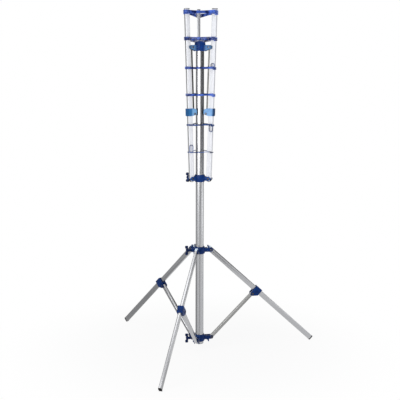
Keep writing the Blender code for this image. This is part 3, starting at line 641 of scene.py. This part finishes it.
# %% Plugs and caps
CAP_ROUGH = (0.40, 0.55)
CAP_COAT = 0.1
CAP_BLACK = moulded_plastic(
    "cap_black", (0.006, 0.006, 0.007), (0.014, 0.014, 0.016), (0.035, 0.035, 0.038), (0.45, 0.6), 0.05)
CAP_SHADED = moulded_plastic(
    "cap_shaded", (0.06, 0.065, 0.075), (0.10, 0.105, 0.115), (0.22, 0.22, 0.23), CAP_ROUGH, CAP_COAT)
CAP_HALF_SHADED = moulded_plastic(
    "cap_half_shaded", (0.13, 0.135, 0.145), (0.20, 0.205, 0.215), (0.34, 0.34, 0.35), CAP_ROUGH, CAP_COAT)
CAP_GREY = moulded_plastic(
    "cap_grey", (0.30, 0.31, 0.32), (0.40, 0.41, 0.42), (0.58, 0.58, 0.58), CAP_ROUGH, CAP_COAT)
dress(CAP_BLACK, "leg_foot_1", "leg_foot_2", "leg_foot_3")
# The three arm end caps are one grey part, painted in three tones as light and shade: grey on the left arm,
# darker on the right arm, darkest on the back arm.
dress(CAP_HALF_SHADED, "arm_end_cap_1")
dress(CAP_SHADED, "arm_end_cap_2")
dress(CAP_GREY, "arm_end_cap_3", "mast_foot_plug")
print("plugs and caps:", [m.name for m in (CAP_BLACK, CAP_SHADED, CAP_HALF_SHADED, CAP_GREY)])

# %% [markdown]
# ## Steel
# Rivets, studs and head rods are plated steel. The plating is nearly smooth, so a fine mottle and softened
# edges are enough, and the darker rods only differ in their colours.

# %% Plated steel
STEEL_GRAIN = 1500.0
STEEL_EDGE = 0.5 * MM
STEEL_RELIEF = (0.1, 0.2 * MM)
RIVET_ROUGH = (0.3, 0.45)


def plated_steel(name, low, high, rough):
    """Plated steel with a faint mottle and softened edges."""
    surface, tree = new_material(name)
    spot = node(tree, "ShaderNodeTexCoord").outputs["Object"]
    mottle = place_group(tree, MOTTLE, Vector=spot, Grain=STEEL_GRAIN)
    edge = place_group(tree, EDGE_GLINT, Width=STEEL_EDGE)
    set_surface(tree, {
        "Metallic": 1.0,
        "Base Color": blend(tree, spread(tree, mottle["Mask"]), low, high),
        "Roughness": spread(tree, mottle["Mask"], *rough),
        "Normal": relief(tree, mottle["Height"], *STEEL_RELIEF, edge["Normal"])})
    return surface


RIVET_STEEL = plated_steel("rivet_steel", (0.05, 0.05, 0.055), (0.10, 0.10, 0.11), RIVET_ROUGH)
HEAD_RIVET_STEEL = plated_steel("head_rivet_steel", (0.13, 0.14, 0.17), (0.20, 0.21, 0.25), RIVET_ROUGH)
STUD_STEEL = plated_steel("stud_steel", (0.40, 0.41, 0.42), (0.52, 0.53, 0.54), (0.22, 0.36))
ROD_STEEL = plated_steel("rod_steel", (0.10, 0.10, 0.10), (0.155, 0.155, 0.155), (0.28, 0.42))
for name in NODES:
    if "bracket_rivet" in name or "rod_rivet" in name:
        dress(HEAD_RIVET_STEEL, name)
    elif "rivet" in name:
        dress(RIVET_STEEL, name)
    elif "stud" in name:
        dress(STUD_STEEL, name)
    elif name.startswith("arm_rod_"):
        dress(ROD_STEEL, name)
print("steel:", [m.name for m in (RIVET_STEEL, HEAD_RIVET_STEEL, STUD_STEEL, ROD_STEEL)])

# %% [markdown]
# ## Rounded edges
# A real moulding or tube has no knife edges: each one carries a small round that catches a line of light.
# The solids are sharp, so each visible one gets a copy with its edges bevelled, which takes its place.
# Flat faces are merged first, because a bevel works best on whole faces.

# %% Copies with rounded edges
WELD = 0.005 * MM
FLAT_TURN = math.radians(1.0)
EDGE_TURN = math.radians(28.0)
SMOOTH_TURN = math.radians(40.0)


def show(name, mesh, body, slot, *solids):
    """Object of a mesh that rides on a body and stands for some solids, or for none."""
    piece = put(name, mesh)
    if solids:
        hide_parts(*solids)
    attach(piece, body)
    return piece


def finish_of(name):
    """Material that a solid was given."""
    return NODES[name].data.materials[0]


def smooth_mesh(name, form, surface, turn=SMOOTH_TURN):
    """Mesh of a closed form, smooth except across edges sharper than that turn."""
    bmesh.ops.recalc_face_normals(form, faces=form.faces)
    mesh = mesh_of(name, form, surface)
    mesh.shade_smooth()
    mesh.set_sharp_from_angle(angle=turn)
    return mesh


def round_edges(form, edges, width):
    """Give edges of a form a small round."""
    bmesh.ops.bevel(form, geom=edges, offset=width, offset_type="OFFSET", segments=2, profile=0.5,
                    affect="EDGES", clamp_overlap=True)


def softened(name, width, slot):
    """Copy of a solid with rounded edges, in the solid's place and finish."""
    form = bmesh.new()
    form.from_mesh(NODES[name].data)
    bmesh.ops.remove_doubles(form, verts=form.verts, dist=WELD)
    bmesh.ops.dissolve_limit(form, angle_limit=FLAT_TURN, verts=form.verts, edges=form.edges)
    sharp = [e for e in form.edges if len(e.link_faces) == 2 and e.calc_face_angle() > EDGE_TURN]
    round_edges(form, sharp, width)
    title = name + "_rounded"
    return show(title, smooth_mesh(title, form, finish_of(name)), BODY_OF[name], slot, name)


# %% Round the pieces
HUBS = ("tripod_base_hub", "tripod_slide_hub", "arm_hub", "spider_hub")
HUB_ROUND = 0.8 * MM
TRIPLETS = (
    ("leg_collar", 1.0 * MM, "blue_plastic"),
    ("arm_bracket", 0.9 * MM, "blue_plastic"),
    ("leg_tube", 0.5 * MM, "aluminium_tube"),
    ("leg_strut", 0.5 * MM, "aluminium_tube"),
    ("arm_tube", 0.5 * MM, "aluminium_tube"),
    ("leg_foot", 0.6 * MM, "black_plastic"),
    ("arm_end_cap", 0.6 * MM, "grey_plastic"),
)
rounded = [softened(hub, HUB_ROUND, "blue_plastic") for hub in HUBS]
for i in (1, 2, 3):
    rounded += [softened(f"{stem}_{i}", width, slot) for stem, width, slot in TRIPLETS]
print("rounded pieces:", len(rounded), "faces", sum(len(p.data.polygons) for p in rounded))

# %% [markdown]
# ## Wing knobs
# A wing knob is moulded in one shot, so its two lobes flow into the waist and the neck without an edge.
# A voxel remesh fuses the solid's parts into one even skin, and a smoothing pass lets the corners melt.
# That is quicker than modelling each fillet.

# %% Moulded knobs
KNOB_VOXEL = 0.7 * MM
MELT_FACTOR = 0.5
MELT_PASSES = 8


def melted(name):
    """Copy of a solid as one even skin with soft corners, in the solid's place and finish."""
    draft = put(name + "_draft", NODES[name].data.copy())
    fuse = draft.modifiers.new("fuse", "REMESH")
    fuse.mode = "VOXEL"
    fuse.voxel_size = KNOB_VOXEL
    melt = draft.modifiers.new("melt", "SMOOTH")
    melt.factor = MELT_FACTOR
    melt.iterations = MELT_PASSES
    graph = bpy.context.evaluated_depsgraph_get()
    graph.update()
    mesh = bpy.data.meshes.new_from_object(draft.evaluated_get(graph))
    bpy.data.objects.remove(draft, do_unlink=True)
    mesh.name = name + "_moulded"
    mesh.shade_smooth()
    mesh.materials.clear()
    mesh.materials.append(finish_of(name))
    return show(mesh.name, mesh, BODY_OF[name], "blue_plastic", name)


knobs = [melted(f"{hub}_knob") for hub in ("tripod_base", "tripod_slide", "arm_hub")]
print("knobs:", [(k.name, len(k.data.polygons)) for k in knobs])

# %% [markdown]
# ## Rivets
# Each pivot is a round rivet with a low domed head outside each cheek. The solid's heads are faceted, so a
# finer one is turned in its place: its axis is known, and its length and radius are measured on the solid.

# %% Turned rivets
RIVET_SIDES = 24
DOME = ((0.0, 1.0), (0.30, 0.97), (0.58, 0.86), (0.80, 0.66), (0.94, 0.38), (1.0, 0.08), (1.0, 0.0))
HEAD_HEIGHT = 2.0 * MM
PIN_SHARE = 0.58
RIVET_SMOOTH = math.radians(50.0)
UP = Vector((0.0, 0.0, 1.0))


def sideways(azimuth):
    """Level unit vector a quarter turn on from an azimuth."""
    return Vector((-math.sin(azimuth), math.cos(azimuth), 0.0))


def middle_of(name):
    """Middle of a solid's points."""
    spots = [v.co for v in NODES[name].data.vertices]
    return sum(spots, Vector()) / len(spots)


def skin(form, rings):
    """Faces over both ends of a row of rings and between its rings; a ring of one point is a tip."""
    for ring in (rings[0], rings[-1][::-1]):
        if len(ring) > 1:
            form.faces.new(ring)
    for lower, upper in zip(rings, rings[1:]):
        sides = max(len(lower), len(upper))
        for k in range(sides):
            j = (k + 1) % sides
            rise = (lower[k % len(lower)], upper[k % len(upper)])
            fall = (upper[j % len(upper)], lower[j % len(lower)])
            form.faces.new(list(dict.fromkeys(rise + fall)))


def turned_rivet(name, azimuth):
    """Rivet with domed heads, along the pivot's axis at that azimuth."""
    axis = sideways(azimuth)
    across = axis.cross(UP)
    middle = middle_of(name)
    offsets = [v.co - middle for v in NODES[name].data.vertices]
    half = max(offset.dot(axis) for offset in offsets)
    head = max((offset - axis * offset.dot(axis)).length for offset in offsets)
    under = half - HEAD_HEIGHT
    profile = [(head * r, under + HEAD_HEIGHT * h) for r, h in DOME] + [(head * PIN_SHARE, under)]
    profile += [(r, -h) for r, h in reversed(profile)]
    form = bmesh.new()
    rings = []
    for r, h in profile:
        count = RIVET_SIDES if r > 0.0 else 1
        turns = [2 * math.pi * k / RIVET_SIDES for k in range(count)]
        rays = [UP * math.cos(a) + across * math.sin(a) for a in turns]
        rings.append([form.verts.new(middle + axis * h + r * ray) for ray in rays])
    skin(form, rings)
    title = name + "_turned"
    mesh = smooth_mesh(title, form, finish_of(name), RIVET_SMOOTH)
    return show(title, mesh, BODY_OF[name], "zinc_steel", name)


rivets = []
for i in range(3):
    for stem in ("leg_strut", "leg_pivot", "leg_collar"):
        rivets.append(turned_rivet(f"{stem}_rivet_{i + 1}", LEG_AZIMUTHS[i]))
    for stem in ("arm_rod", "arm_pivot", "arm_bracket"):
        rivets.append(turned_rivet(f"{stem}_rivet_{i + 1}", ARM_AZIMUTHS[i]))
print("rivets:", len(rivets))

# %% [markdown]
# ## Cheek plates of the upper hubs
# The ears of the spider and of the arm hub taper to slim tips that reach past the folded arms.
# Each cheek gets a flat plate of that outline, in the cheek's own plane, so an arm or a rod still swings
# between the two cheeks. A plate is an outline given a thickness, with its edges rounded.

# %% Cheek plates
SPIDER_EAR = ((18.0, 10.0), (38.0, 8.6), (54.0, 7.2), (58.5, 4.6), (59.5, 0.0),
              (58.5, -4.6), (54.0, -7.2), (40.0, -9.2), (23.0, -16.0), (18.0, -16.0))
ARM_EAR = ((20.0, 8.0), (42.0, 7.2), (51.0, 5.4), (54.5, 2.4),
           (54.5, -2.4), (51.0, -5.4), (42.0, -7.2), (20.0, -8.0))
CHEEK_BAND = (6.9, 10.3)
CHEEK_ROUND = 0.8 * MM


def cheek_plate(title, azimuth, level, side, outline, surface, body):
    """Plate on one cheek of an ear; its outline is in millimetres out from the mast and up from the pivot."""
    out = outward(azimuth)
    across = sideways(azimuth) * side
    form = bmesh.new()
    walls = []
    for depth in CHEEK_BAND:
        foot = across * depth * MM
        walls.append([form.verts.new(foot + out * r * MM + UP * (level + z * MM)) for r, z in outline])
    skin(form, walls)
    round_edges(form, form.edges[:], CHEEK_ROUND)
    return show(title, smooth_mesh(title, form, surface), body, "blue_plastic")


plates = []
for i, azimuth in enumerate(ARM_AZIMUTHS, start=1):
    rod_level = middle_of(f"arm_rod_rivet_{i}")[2]
    arm_level = middle_of(f"arm_pivot_rivet_{i}")[2]
    for side, label in ((1.0, "left"), (-1.0, "right")):
        plates.append(cheek_plate(f"spider_cheek_{i}_{label}", azimuth, rod_level, side,
                                  SPIDER_EAR, SPIDER_BLUE, "mast"))
        plates.append(cheek_plate(f"arm_hub_cheek_{i}_{label}", azimuth, arm_level, side,
                                  ARM_EAR, ARM_HUB_BLUE, "arm_slide"))
print("cheek plates:", len(plates))

# %% [markdown]
# ## End plugs at the pivots
# The rounded top of each leg is closed with a pale plastic plug, which shows in the mouth of the slide
# hub's ear; its pale blue-white tone is partly its own and partly a painted highlight. The lower end of each
# arm has a black one, which shows at the tip of the arm hub's ear. Each is an arch over the pivot, so it
# clears the rivet and turns with its tube inside the fork.

# %% End plugs
PLUG_INNER = 5.2 * MM
PLUG_EDGE = 1.0 * MM
PLUG_CUT = 0.3 * PLUG_EDGE
PLUG_FOOT = -1.0 * MM
PLUG_STEPS = 20
LEG_PLUG = {"end": 1.0, "lift": 6.5 * MM, "outer": 10.9 * MM, "half": 5.0 * MM}
ARM_PLUG = {"end": -1.0, "lift": 1.5 * MM, "outer": 11.8 * MM, "half": 5.6 * MM}
# Pale blue-white of the leg top plugs: partly the plug's own colour, partly a painted highlight.
PLUG_WHITE_AND_HIGHLIGHT = moulded_plastic(
    "plug_white_and_highlight", (0.62, 0.76, 0.90), (0.72, 0.84, 0.95), (0.85, 0.92, 0.98), (0.25, 0.36), 0.3, gloss=0.4)


def plug_form(pivot, azimuth, tilt, end, lift, outer, half):
    """Arch over a pivot that closes a tube's end; end is 1 for the upper end and -1 for the lower."""
    axis = sideways(azimuth)
    up = (outward(azimuth) * math.sin(tilt) + UP * math.cos(tilt)) * end
    across = axis.cross(up)
    rounding = [(outer - PLUG_EDGE, half), (outer - PLUG_CUT, half - PLUG_CUT), (outer, half - PLUG_EDGE)]
    section = [(PLUG_INNER, -half)] + [(r, -h) for r, h in rounding]
    section += rounding[::-1] + [(PLUG_INNER, half)]
    form = bmesh.new()
    rings = []
    for k in range(-1, PLUG_STEPS + 2):
        angle = math.pi * (min(max(k, 0), PLUG_STEPS) / PLUG_STEPS - 0.5)
        heart = pivot + up * (lift if 0 <= k <= PLUG_STEPS else PLUG_FOOT)
        ray = up * math.cos(angle) + across * math.sin(angle)
        rings.append([form.verts.new(heart + ray * r + axis * h) for r, h in section])
    skin(form, rings)
    return form


plugs = []
for i in range(3):
    for limb, place, azimuths, tilt, sizes, surface, slot in (
            ("leg", "top", LEG_AZIMUTHS, LEG_TILT, LEG_PLUG, PLUG_WHITE_AND_HIGHLIGHT, "grey_plastic"),
            ("arm", "heel", ARM_AZIMUTHS, ARM_TILT, ARM_PLUG, CAP_BLACK, "black_plastic")):
        form = plug_form(middle_of(f"{limb}_pivot_rivet_{i + 1}"), azimuths[i], tilt, **sizes)
        title = f"{limb}_{place}_plug_{i + 1}"
        plugs.append(show(title, smooth_mesh(title, form, surface), f"{limb}_{i + 1}", slot))
print("end plugs:", [p.name for p in plugs])

# %% [markdown]
# ## The clotheslines
# Each line is one cord with a twisted core under a blue plastic skin, wound slack round the folded arms.
# When the arms open, a real line unwinds and spreads between them, which no rigid piece can do.
# So each winding is made in shares: a wrap round each arm's outer corners, and half of each run beside it.
# The half runs meet halfway between the arms when folded, and turn with their own arm as it opens.
# Between two arms the turns bunch up and lie on each other. The sizes of the arms repeat the imported ones.

# %% Sizes of the windings
ARM_PIVOT = (42.0 * MM, 726.5 * MM)
ARM_HALF = (11.0 * MM, 6.0 * MM)
ARM_CORNER = 3.0 * MM
BRACKET_ALONG = 270.5 * MM
LINE_TOP = 681.0 * MM
LINE_R = 1.5 * MM
LINE_PITCH = 3.6 * MM
LINE_LOOPS = (5, 4, 3, 3, 2, 1)
LINE_WAVE = 3.0 * MM
WAVE_PHASE = 2.0
LINE_WAVES = [LINE_WAVE * share for share in (0.17, 0.27, 0.40, 0.50, 0.67, 1.0)]
LINE_BACK_DROP = [v * MM for v in (8.0, 8.0, 2.0, 0.0, 0.0, 0.0)]
LINE_LEVELS = [BRACKET_ALONG + share * (LINE_TOP - BRACKET_ALONG) for share in (1.0, 0.743, 0.457, 0.190)]
LINE_LEVELS += [BRACKET_ALONG * share for share in (0.832, 0.414)]
LINE_SLACK = 2.0 * MM
LINE_TAIL = 6.0 * MM
LINE_BUNCH = (0.45, 0.12, 0.45, 0.45, 0.45, 0.45)
LINE_LAYER = 1.15 * MM
LINE_SEAT = 0.6 * MM
BEND = ARM_CORNER + LINE_SEAT + LINE_R
SIXTY = math.pi / 3
print("line levels above the pivots:", [round(v, 3) for v in LINE_LEVELS])

# %% Route of a winding
STEPS_PER_ARM = 8
STEPS_PER_LOOP = 3 * STEPS_PER_ARM
WRAP_STEPS = 5.0
RUN_STEPS = (STEPS_PER_ARM - WRAP_STEPS) / 2
CORNER_CUTS = 6
RUN_SHARES = (1.0, 0.85, 0.7, 0.55, 0.4, 0.25, 0.1)


def smooth_step(x):
    """Share from zero to one that starts and ends gently."""
    return x * x * (3.0 - 2.0 * x)


def winding_share(line, arm, loop):
    """Three routes of one loop on one arm: half a run, the wrap round the arm's corners, half a run."""
    level, loops = LINE_LEVELS[line], LINE_LOOPS[line]
    turn = Matrix.Rotation(ARM_AZIMUTHS[arm], 3, "Z")

    def along_at(step):
        """Distance along the arm at a step of the loop."""
        return level + (loop + (STEPS_PER_ARM * arm + step) / STEPS_PER_LOOP - loops / 2) * LINE_PITCH

    def heart(along, side):
        """Middle of the round on one outer corner of the arm."""
        reach = ARM_PIVOT[0] + along * math.sin(ARM_TILT) + (ARM_HALF[0] - ARM_CORNER) * math.cos(ARM_TILT)
        return Vector((reach, side * (ARM_HALF[1] - ARM_CORNER)))

    def spot(flat, along, rise):
        """Place in the scene of a spot on the level of that distance."""
        height = ARM_PIVOT[1] + along * math.cos(ARM_TILT) + rise
        return turn @ Vector((flat[0], flat[1], height))

    def corner(side, step, angle):
        """Spot on the bend round one corner."""
        along = along_at(step)
        flat = heart(along, side) + BEND * Vector((math.cos(angle), math.sin(angle)))
        return spot(flat, along, -LINE_BACK_DROP[line] * (arm == 1))

    def run(share, side):
        """Spot on the run beyond one side; a share of one is the middle between two arms."""
        along = along_at(-RUN_STEPS * share if side < 0 else WRAP_STEPS + RUN_STEPS * share)
        leave = heart(along, side) + BEND * Vector((math.cos(SIXTY), side * math.sin(SIXTY)))
        half_way = Vector(((Matrix.Rotation(-side * SIXTY, 2) @ leave)[0], 0.0))
        flat = leave.lerp(Matrix.Rotation(side * SIXTY, 2) @ half_way, share)
        start = (arm - 1) % 3 if side < 0 else arm
        place = 1.0 - share / 2 if side < 0 else share / 2
        turns = loop - 1 if side < 0 and arm == 0 else loop
        belly = math.sin(math.pi * place)
        layer = LINE_LAYER * (-1.0) ** turns * belly * (loops > 1)
        sag = LINE_SLACK * math.sin(math.pi / 2 * share)
        flat = flat * (1.0 + (layer - sag) / flat.length)
        rise = LINE_WAVES[line] * math.sin(WAVE_PHASE * start + math.pi * place) * belly
        rise -= LINE_BUNCH[line] * (turns - (loops - 1) / 2) * LINE_PITCH * belly
        low = (smooth_step(place), 1.0 - smooth_step(place), 0.0)[start]
        return spot(flat, along, rise - LINE_BACK_DROP[line] * low)

    cuts = [cut / CORNER_CUTS for cut in range(CORNER_CUTS + 1)]
    half_wrap = WRAP_STEPS / 2
    wrap = [corner(-1.0, half_wrap * cut, SIXTY * (cut - 1.0)) for cut in cuts]
    wrap += [corner(1.0, half_wrap * (1.0 + cut), SIXTY * cut) for cut in cuts]
    before = [run(share, -1.0) for share in RUN_SHARES] + wrap[:1]
    after = wrap[-1:] + [run(share, 1.0) for share in reversed(RUN_SHARES)]
    return before, wrap, after


def route_length(points):
    """Length of a route."""
    return sum((b - a).length for a, b in zip(points, points[1:]))


sample = winding_share(0, 1, 2)
print("half a run and a wrap:", [round(route_length(points), 3) for points in sample[:2]])

# %% [markdown]
# A tube is swept along each route by setting a ring of points square to it at every spot. That keeps the
# tube round at each bend, and gives it coordinates of its own, round it and along it, which carry the twist.

# %% Tube swept along a route
TUBE_SIDES = 12
PER_CM = 100.0
LEAST_SIDE = 0.05


def sweep(form, layer, points, radius):
    """Round tube along points with closed ends; its coordinates run round it and along it in centimetres."""
    rings = []
    travelled = 0.0
    for i, point in enumerate(points):
        ahead = points[min(i + 1, len(points) - 1)]
        behind = points[max(i - 1, 0)]
        along = (ahead - behind).normalized()
        side = along.cross(UP)
        side = side.normalized() if side.length > LEAST_SIDE else Vector((1.0, 0.0, 0.0))
        up = side.cross(along)
        if i:
            travelled += (point - points[i - 1]).length
        turns = [2 * math.pi * k / TUBE_SIDES for k in range(TUBE_SIDES)]
        rays = [math.cos(a) * side + math.sin(a) * up for a in turns]
        rings.append(([form.verts.new(point + radius * ray) for ray in rays], travelled))
    for (lower, low), (upper, high) in zip(rings, rings[1:]):
        for k in range(TUBE_SIDES):
            j = (k + 1) % TUBE_SIDES
            face = form.faces.new((lower[k], upper[k], upper[j], lower[j]))
            face.smooth = True
            for corner, (u, v) in zip(face.loops, ((k, low), (k, high), (k + 1, high), (k + 1, low))):
                corner[layer].uv = (u / TUBE_SIDES, v * PER_CM)
    form.faces.new(rings[0][0])
    form.faces.new(rings[-1][0][::-1])


def tube_mesh(name, routes, surface):
    """Mesh of a line swept along several routes."""
    form = bmesh.new()
    layer = form.loops.layers.uv.new("along")
    for points in routes:
        sweep(form, layer, points, LINE_R)
    bmesh.ops.recalc_face_normals(form, faces=form.faces)
    return mesh_of(name, form, surface)


# %% Skin of the line
STRANDS = 3.0
TWIST_PER_CM = 2.5
STRAND_SHARE = 0.25
LINE_GRAIN = 2500.0
LINE_MOTTLE = (-0.6, 1.6)
LINE_ROUGH = (0.34, 0.48)
LINE_RELIEF = (0.35, 0.4 * MM)


def line_skin(name, low, high):
    """Blue plastic skin over a twisted core, which shows as a faint spiral."""
    surface, tree = new_material(name)
    along = node(tree, "ShaderNodeUVMap", uv_map="along").outputs["UV"]
    split = node(tree, "ShaderNodeSeparateXYZ", {0: along}).outputs
    twist = weighted_sum(tree, split["X"], STRANDS, split["Y"], TWIST_PER_CM)
    ridge = math_node(tree, "SINE", math_node(tree, "MULTIPLY", twist, 2 * math.pi))
    strand = math_node(tree, "MULTIPLY_ADD", ridge, 0.5, 0.5)
    where = node(tree, "ShaderNodeTexCoord").outputs["Object"]
    mottle = place_group(tree, MOTTLE, Vector=where, Grain=LINE_GRAIN)
    patchy = spread(tree, mottle["Mask"], *LINE_MOTTLE)
    mixed = weighted_sum(tree, strand, STRAND_SHARE, patchy, 1.0 - STRAND_SHARE)
    set_surface(tree, {
        "Coat Weight": 0.05,
        "Specular IOR Level": 0.15,
        "Base Color": blend(tree, mixed, low, high),
        "Roughness": spread(tree, mottle["Mask"], *LINE_ROUGH),
        "Normal": relief(tree, strand, *LINE_RELIEF)})
    return surface


LINE_SKIN = line_skin("line_skin", (0.001, 0.010, 0.10), (0.085, 0.18, 0.68))
# Darker copy of the same skin, a painted shade, for the two lowest lines and the slack loops.
SHADED_SKIN = line_skin("shaded_line_skin", (0.002, 0.008, 0.045), (0.060, 0.12, 0.36))
LINE_SKINS = (LINE_SKIN, LINE_SKIN, LINE_SKIN, LINE_SKIN, SHADED_SKIN, SHADED_SKIN)
print("line skins:", LINE_SKIN.name, SHADED_SKIN.name)


def run_way(arm, side):
    """Direction in which the line runs at one side of an arm."""
    turn = Matrix.Rotation(ARM_AZIMUTHS[arm], 3, "Z")
    return turn @ Vector((-side * math.sin(SIXTY), math.cos(SIXTY), 0.0))


def line_piece(title, line, arm, routes):
    """Tubes of one line that ride on one arm."""
    mesh = tube_mesh(title, routes, LINE_SKINS[line])
    return show(title, mesh, f"arm_{arm + 1}", "blue_line", f"clothes_line_{line + 1}")


wound = []
for line, loops in enumerate(LINE_LOOPS):
    for arm in range(3):
        shares = [winding_share(line, arm, loop) for loop in range(loops + 1)]
        befores = [share[0] for share in (shares[1:] if arm == 0 else shares[:-1])]
        wraps = [share[1] for share in shares[:-1]]
        afters = [share[2] for share in shares[:-1]]
        if arm == 0:
            wraps[0].insert(0, wraps[0][0] - LINE_TAIL * run_way(arm, -1.0))
        title = f"line_{line + 1}_on_arm_{arm + 1}"
        wound.append(line_piece(title, line, arm, wraps))
        for label, routes, side, seat in (("before", befores, -1.0, -1), ("after", afters, 1.0, 0)):
            piece = line_piece(f"{title}_{label}", line, arm, routes)
            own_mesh(piece)
            wound.append(piece)
print("line shares:", len(wound), "faces", sum(len(p.data.polygons) for p in wound))

# %% [markdown]
# A slack line doesn't lie tidily: a few turns have sprung off and stand as small open loops.
# Each loop leaves the winding, makes one turn and goes back into it. Its length is measured, and it is kept
# wider than four diameters, as a real cord would be.

# %% Slack loops
LOOP_STEPS = 48
LEAD_IN, LEAD_IN_STEPS = 13.0 * MM, 8
LEAD_OUT, LEAD_OUT_STEPS = 22.0 * MM, 12
LOOP_STAND = 3.2 * MM
LOOP_LAY = 4.0 * MM


def loop_outline(share, width, height):
    """Spot on an upright loop with round ends that starts and ends at its foot: sideways and up."""
    if share > 0.5:
        aside, rise = loop_outline(1.0 - share, width, height)
        return -aside, rise
    r = width / 2
    straight = height - width
    quarter = math.pi * r / 2
    s = share * (4 * quarter + 2 * straight)
    if s < quarter:
        return r * math.sin(s / r), r * (1.0 - math.cos(s / r))
    s -= quarter
    if s < straight:
        return r, r + s
    s -= straight
    return r * math.cos(s / r), height - r + r * math.sin(s / r)


def slack_loop(line, arm, away, width, height, way_up=1.0):
    """One open loop beside an arm on the front run, standing or hanging."""
    level = LINE_LEVELS[line]
    reach = ARM_PIVOT[0] + level * math.sin(ARM_TILT) + ARM_HALF[0] + BEND - ARM_CORNER
    across = (outward(ARM_AZIMUTHS[0]) - outward(ARM_AZIMUTHS[2])).normalized()
    front = Vector((across[1], -across[0], 0.0))
    heading = across if arm == 2 else -across
    base = outward(ARM_AZIMUTHS[arm]) * reach + heading * away
    base += UP * (ARM_PIVOT[1] + level * math.cos(ARM_TILT))
    points = []
    for k in range(LEAD_IN_STEPS):
        share = k / LEAD_IN_STEPS
        points.append(base - heading * LEAD_IN * (1.0 - share) + front * LOOP_STAND * smooth_step(share))
    for k in range(LOOP_STEPS + 1):
        share = k / LOOP_STEPS
        aside, rise = loop_outline(share, width, height)
        stand = LOOP_STAND + LOOP_LAY * smooth_step(share)
        points.append(base + heading * aside + front * stand + UP * rise * way_up)
    for k in range(1, LEAD_OUT_STEPS + 1):
        share = k / LEAD_OUT_STEPS
        stand = (LOOP_STAND + LOOP_LAY) * (1.0 - smooth_step(share))
        points.append(base + heading * LEAD_OUT * share + front * stand)
    title = f"slack_loop_{line + 1}"
    # The loops take the darker copy of the skin, a painted shade.
    piece = show(title, tube_mesh(title, [points], SHADED_SKIN), f"arm_{arm + 1}", "blue_line")
    length = route_length(points)
    return piece, length


slack = [
    slack_loop(2, 0, away=13.0 * MM, width=13.4 * MM, height=19.0 * MM),
    slack_loop(4, 0, away=12.0 * MM, width=13.4 * MM, height=27.0 * MM, way_up=-1.0),
    slack_loop(5, 2, away=13.0 * MM, width=14.0 * MM, height=31.0 * MM),
]
print("slack loops:", [(piece.name, round(length, 3)) for piece, length in slack])
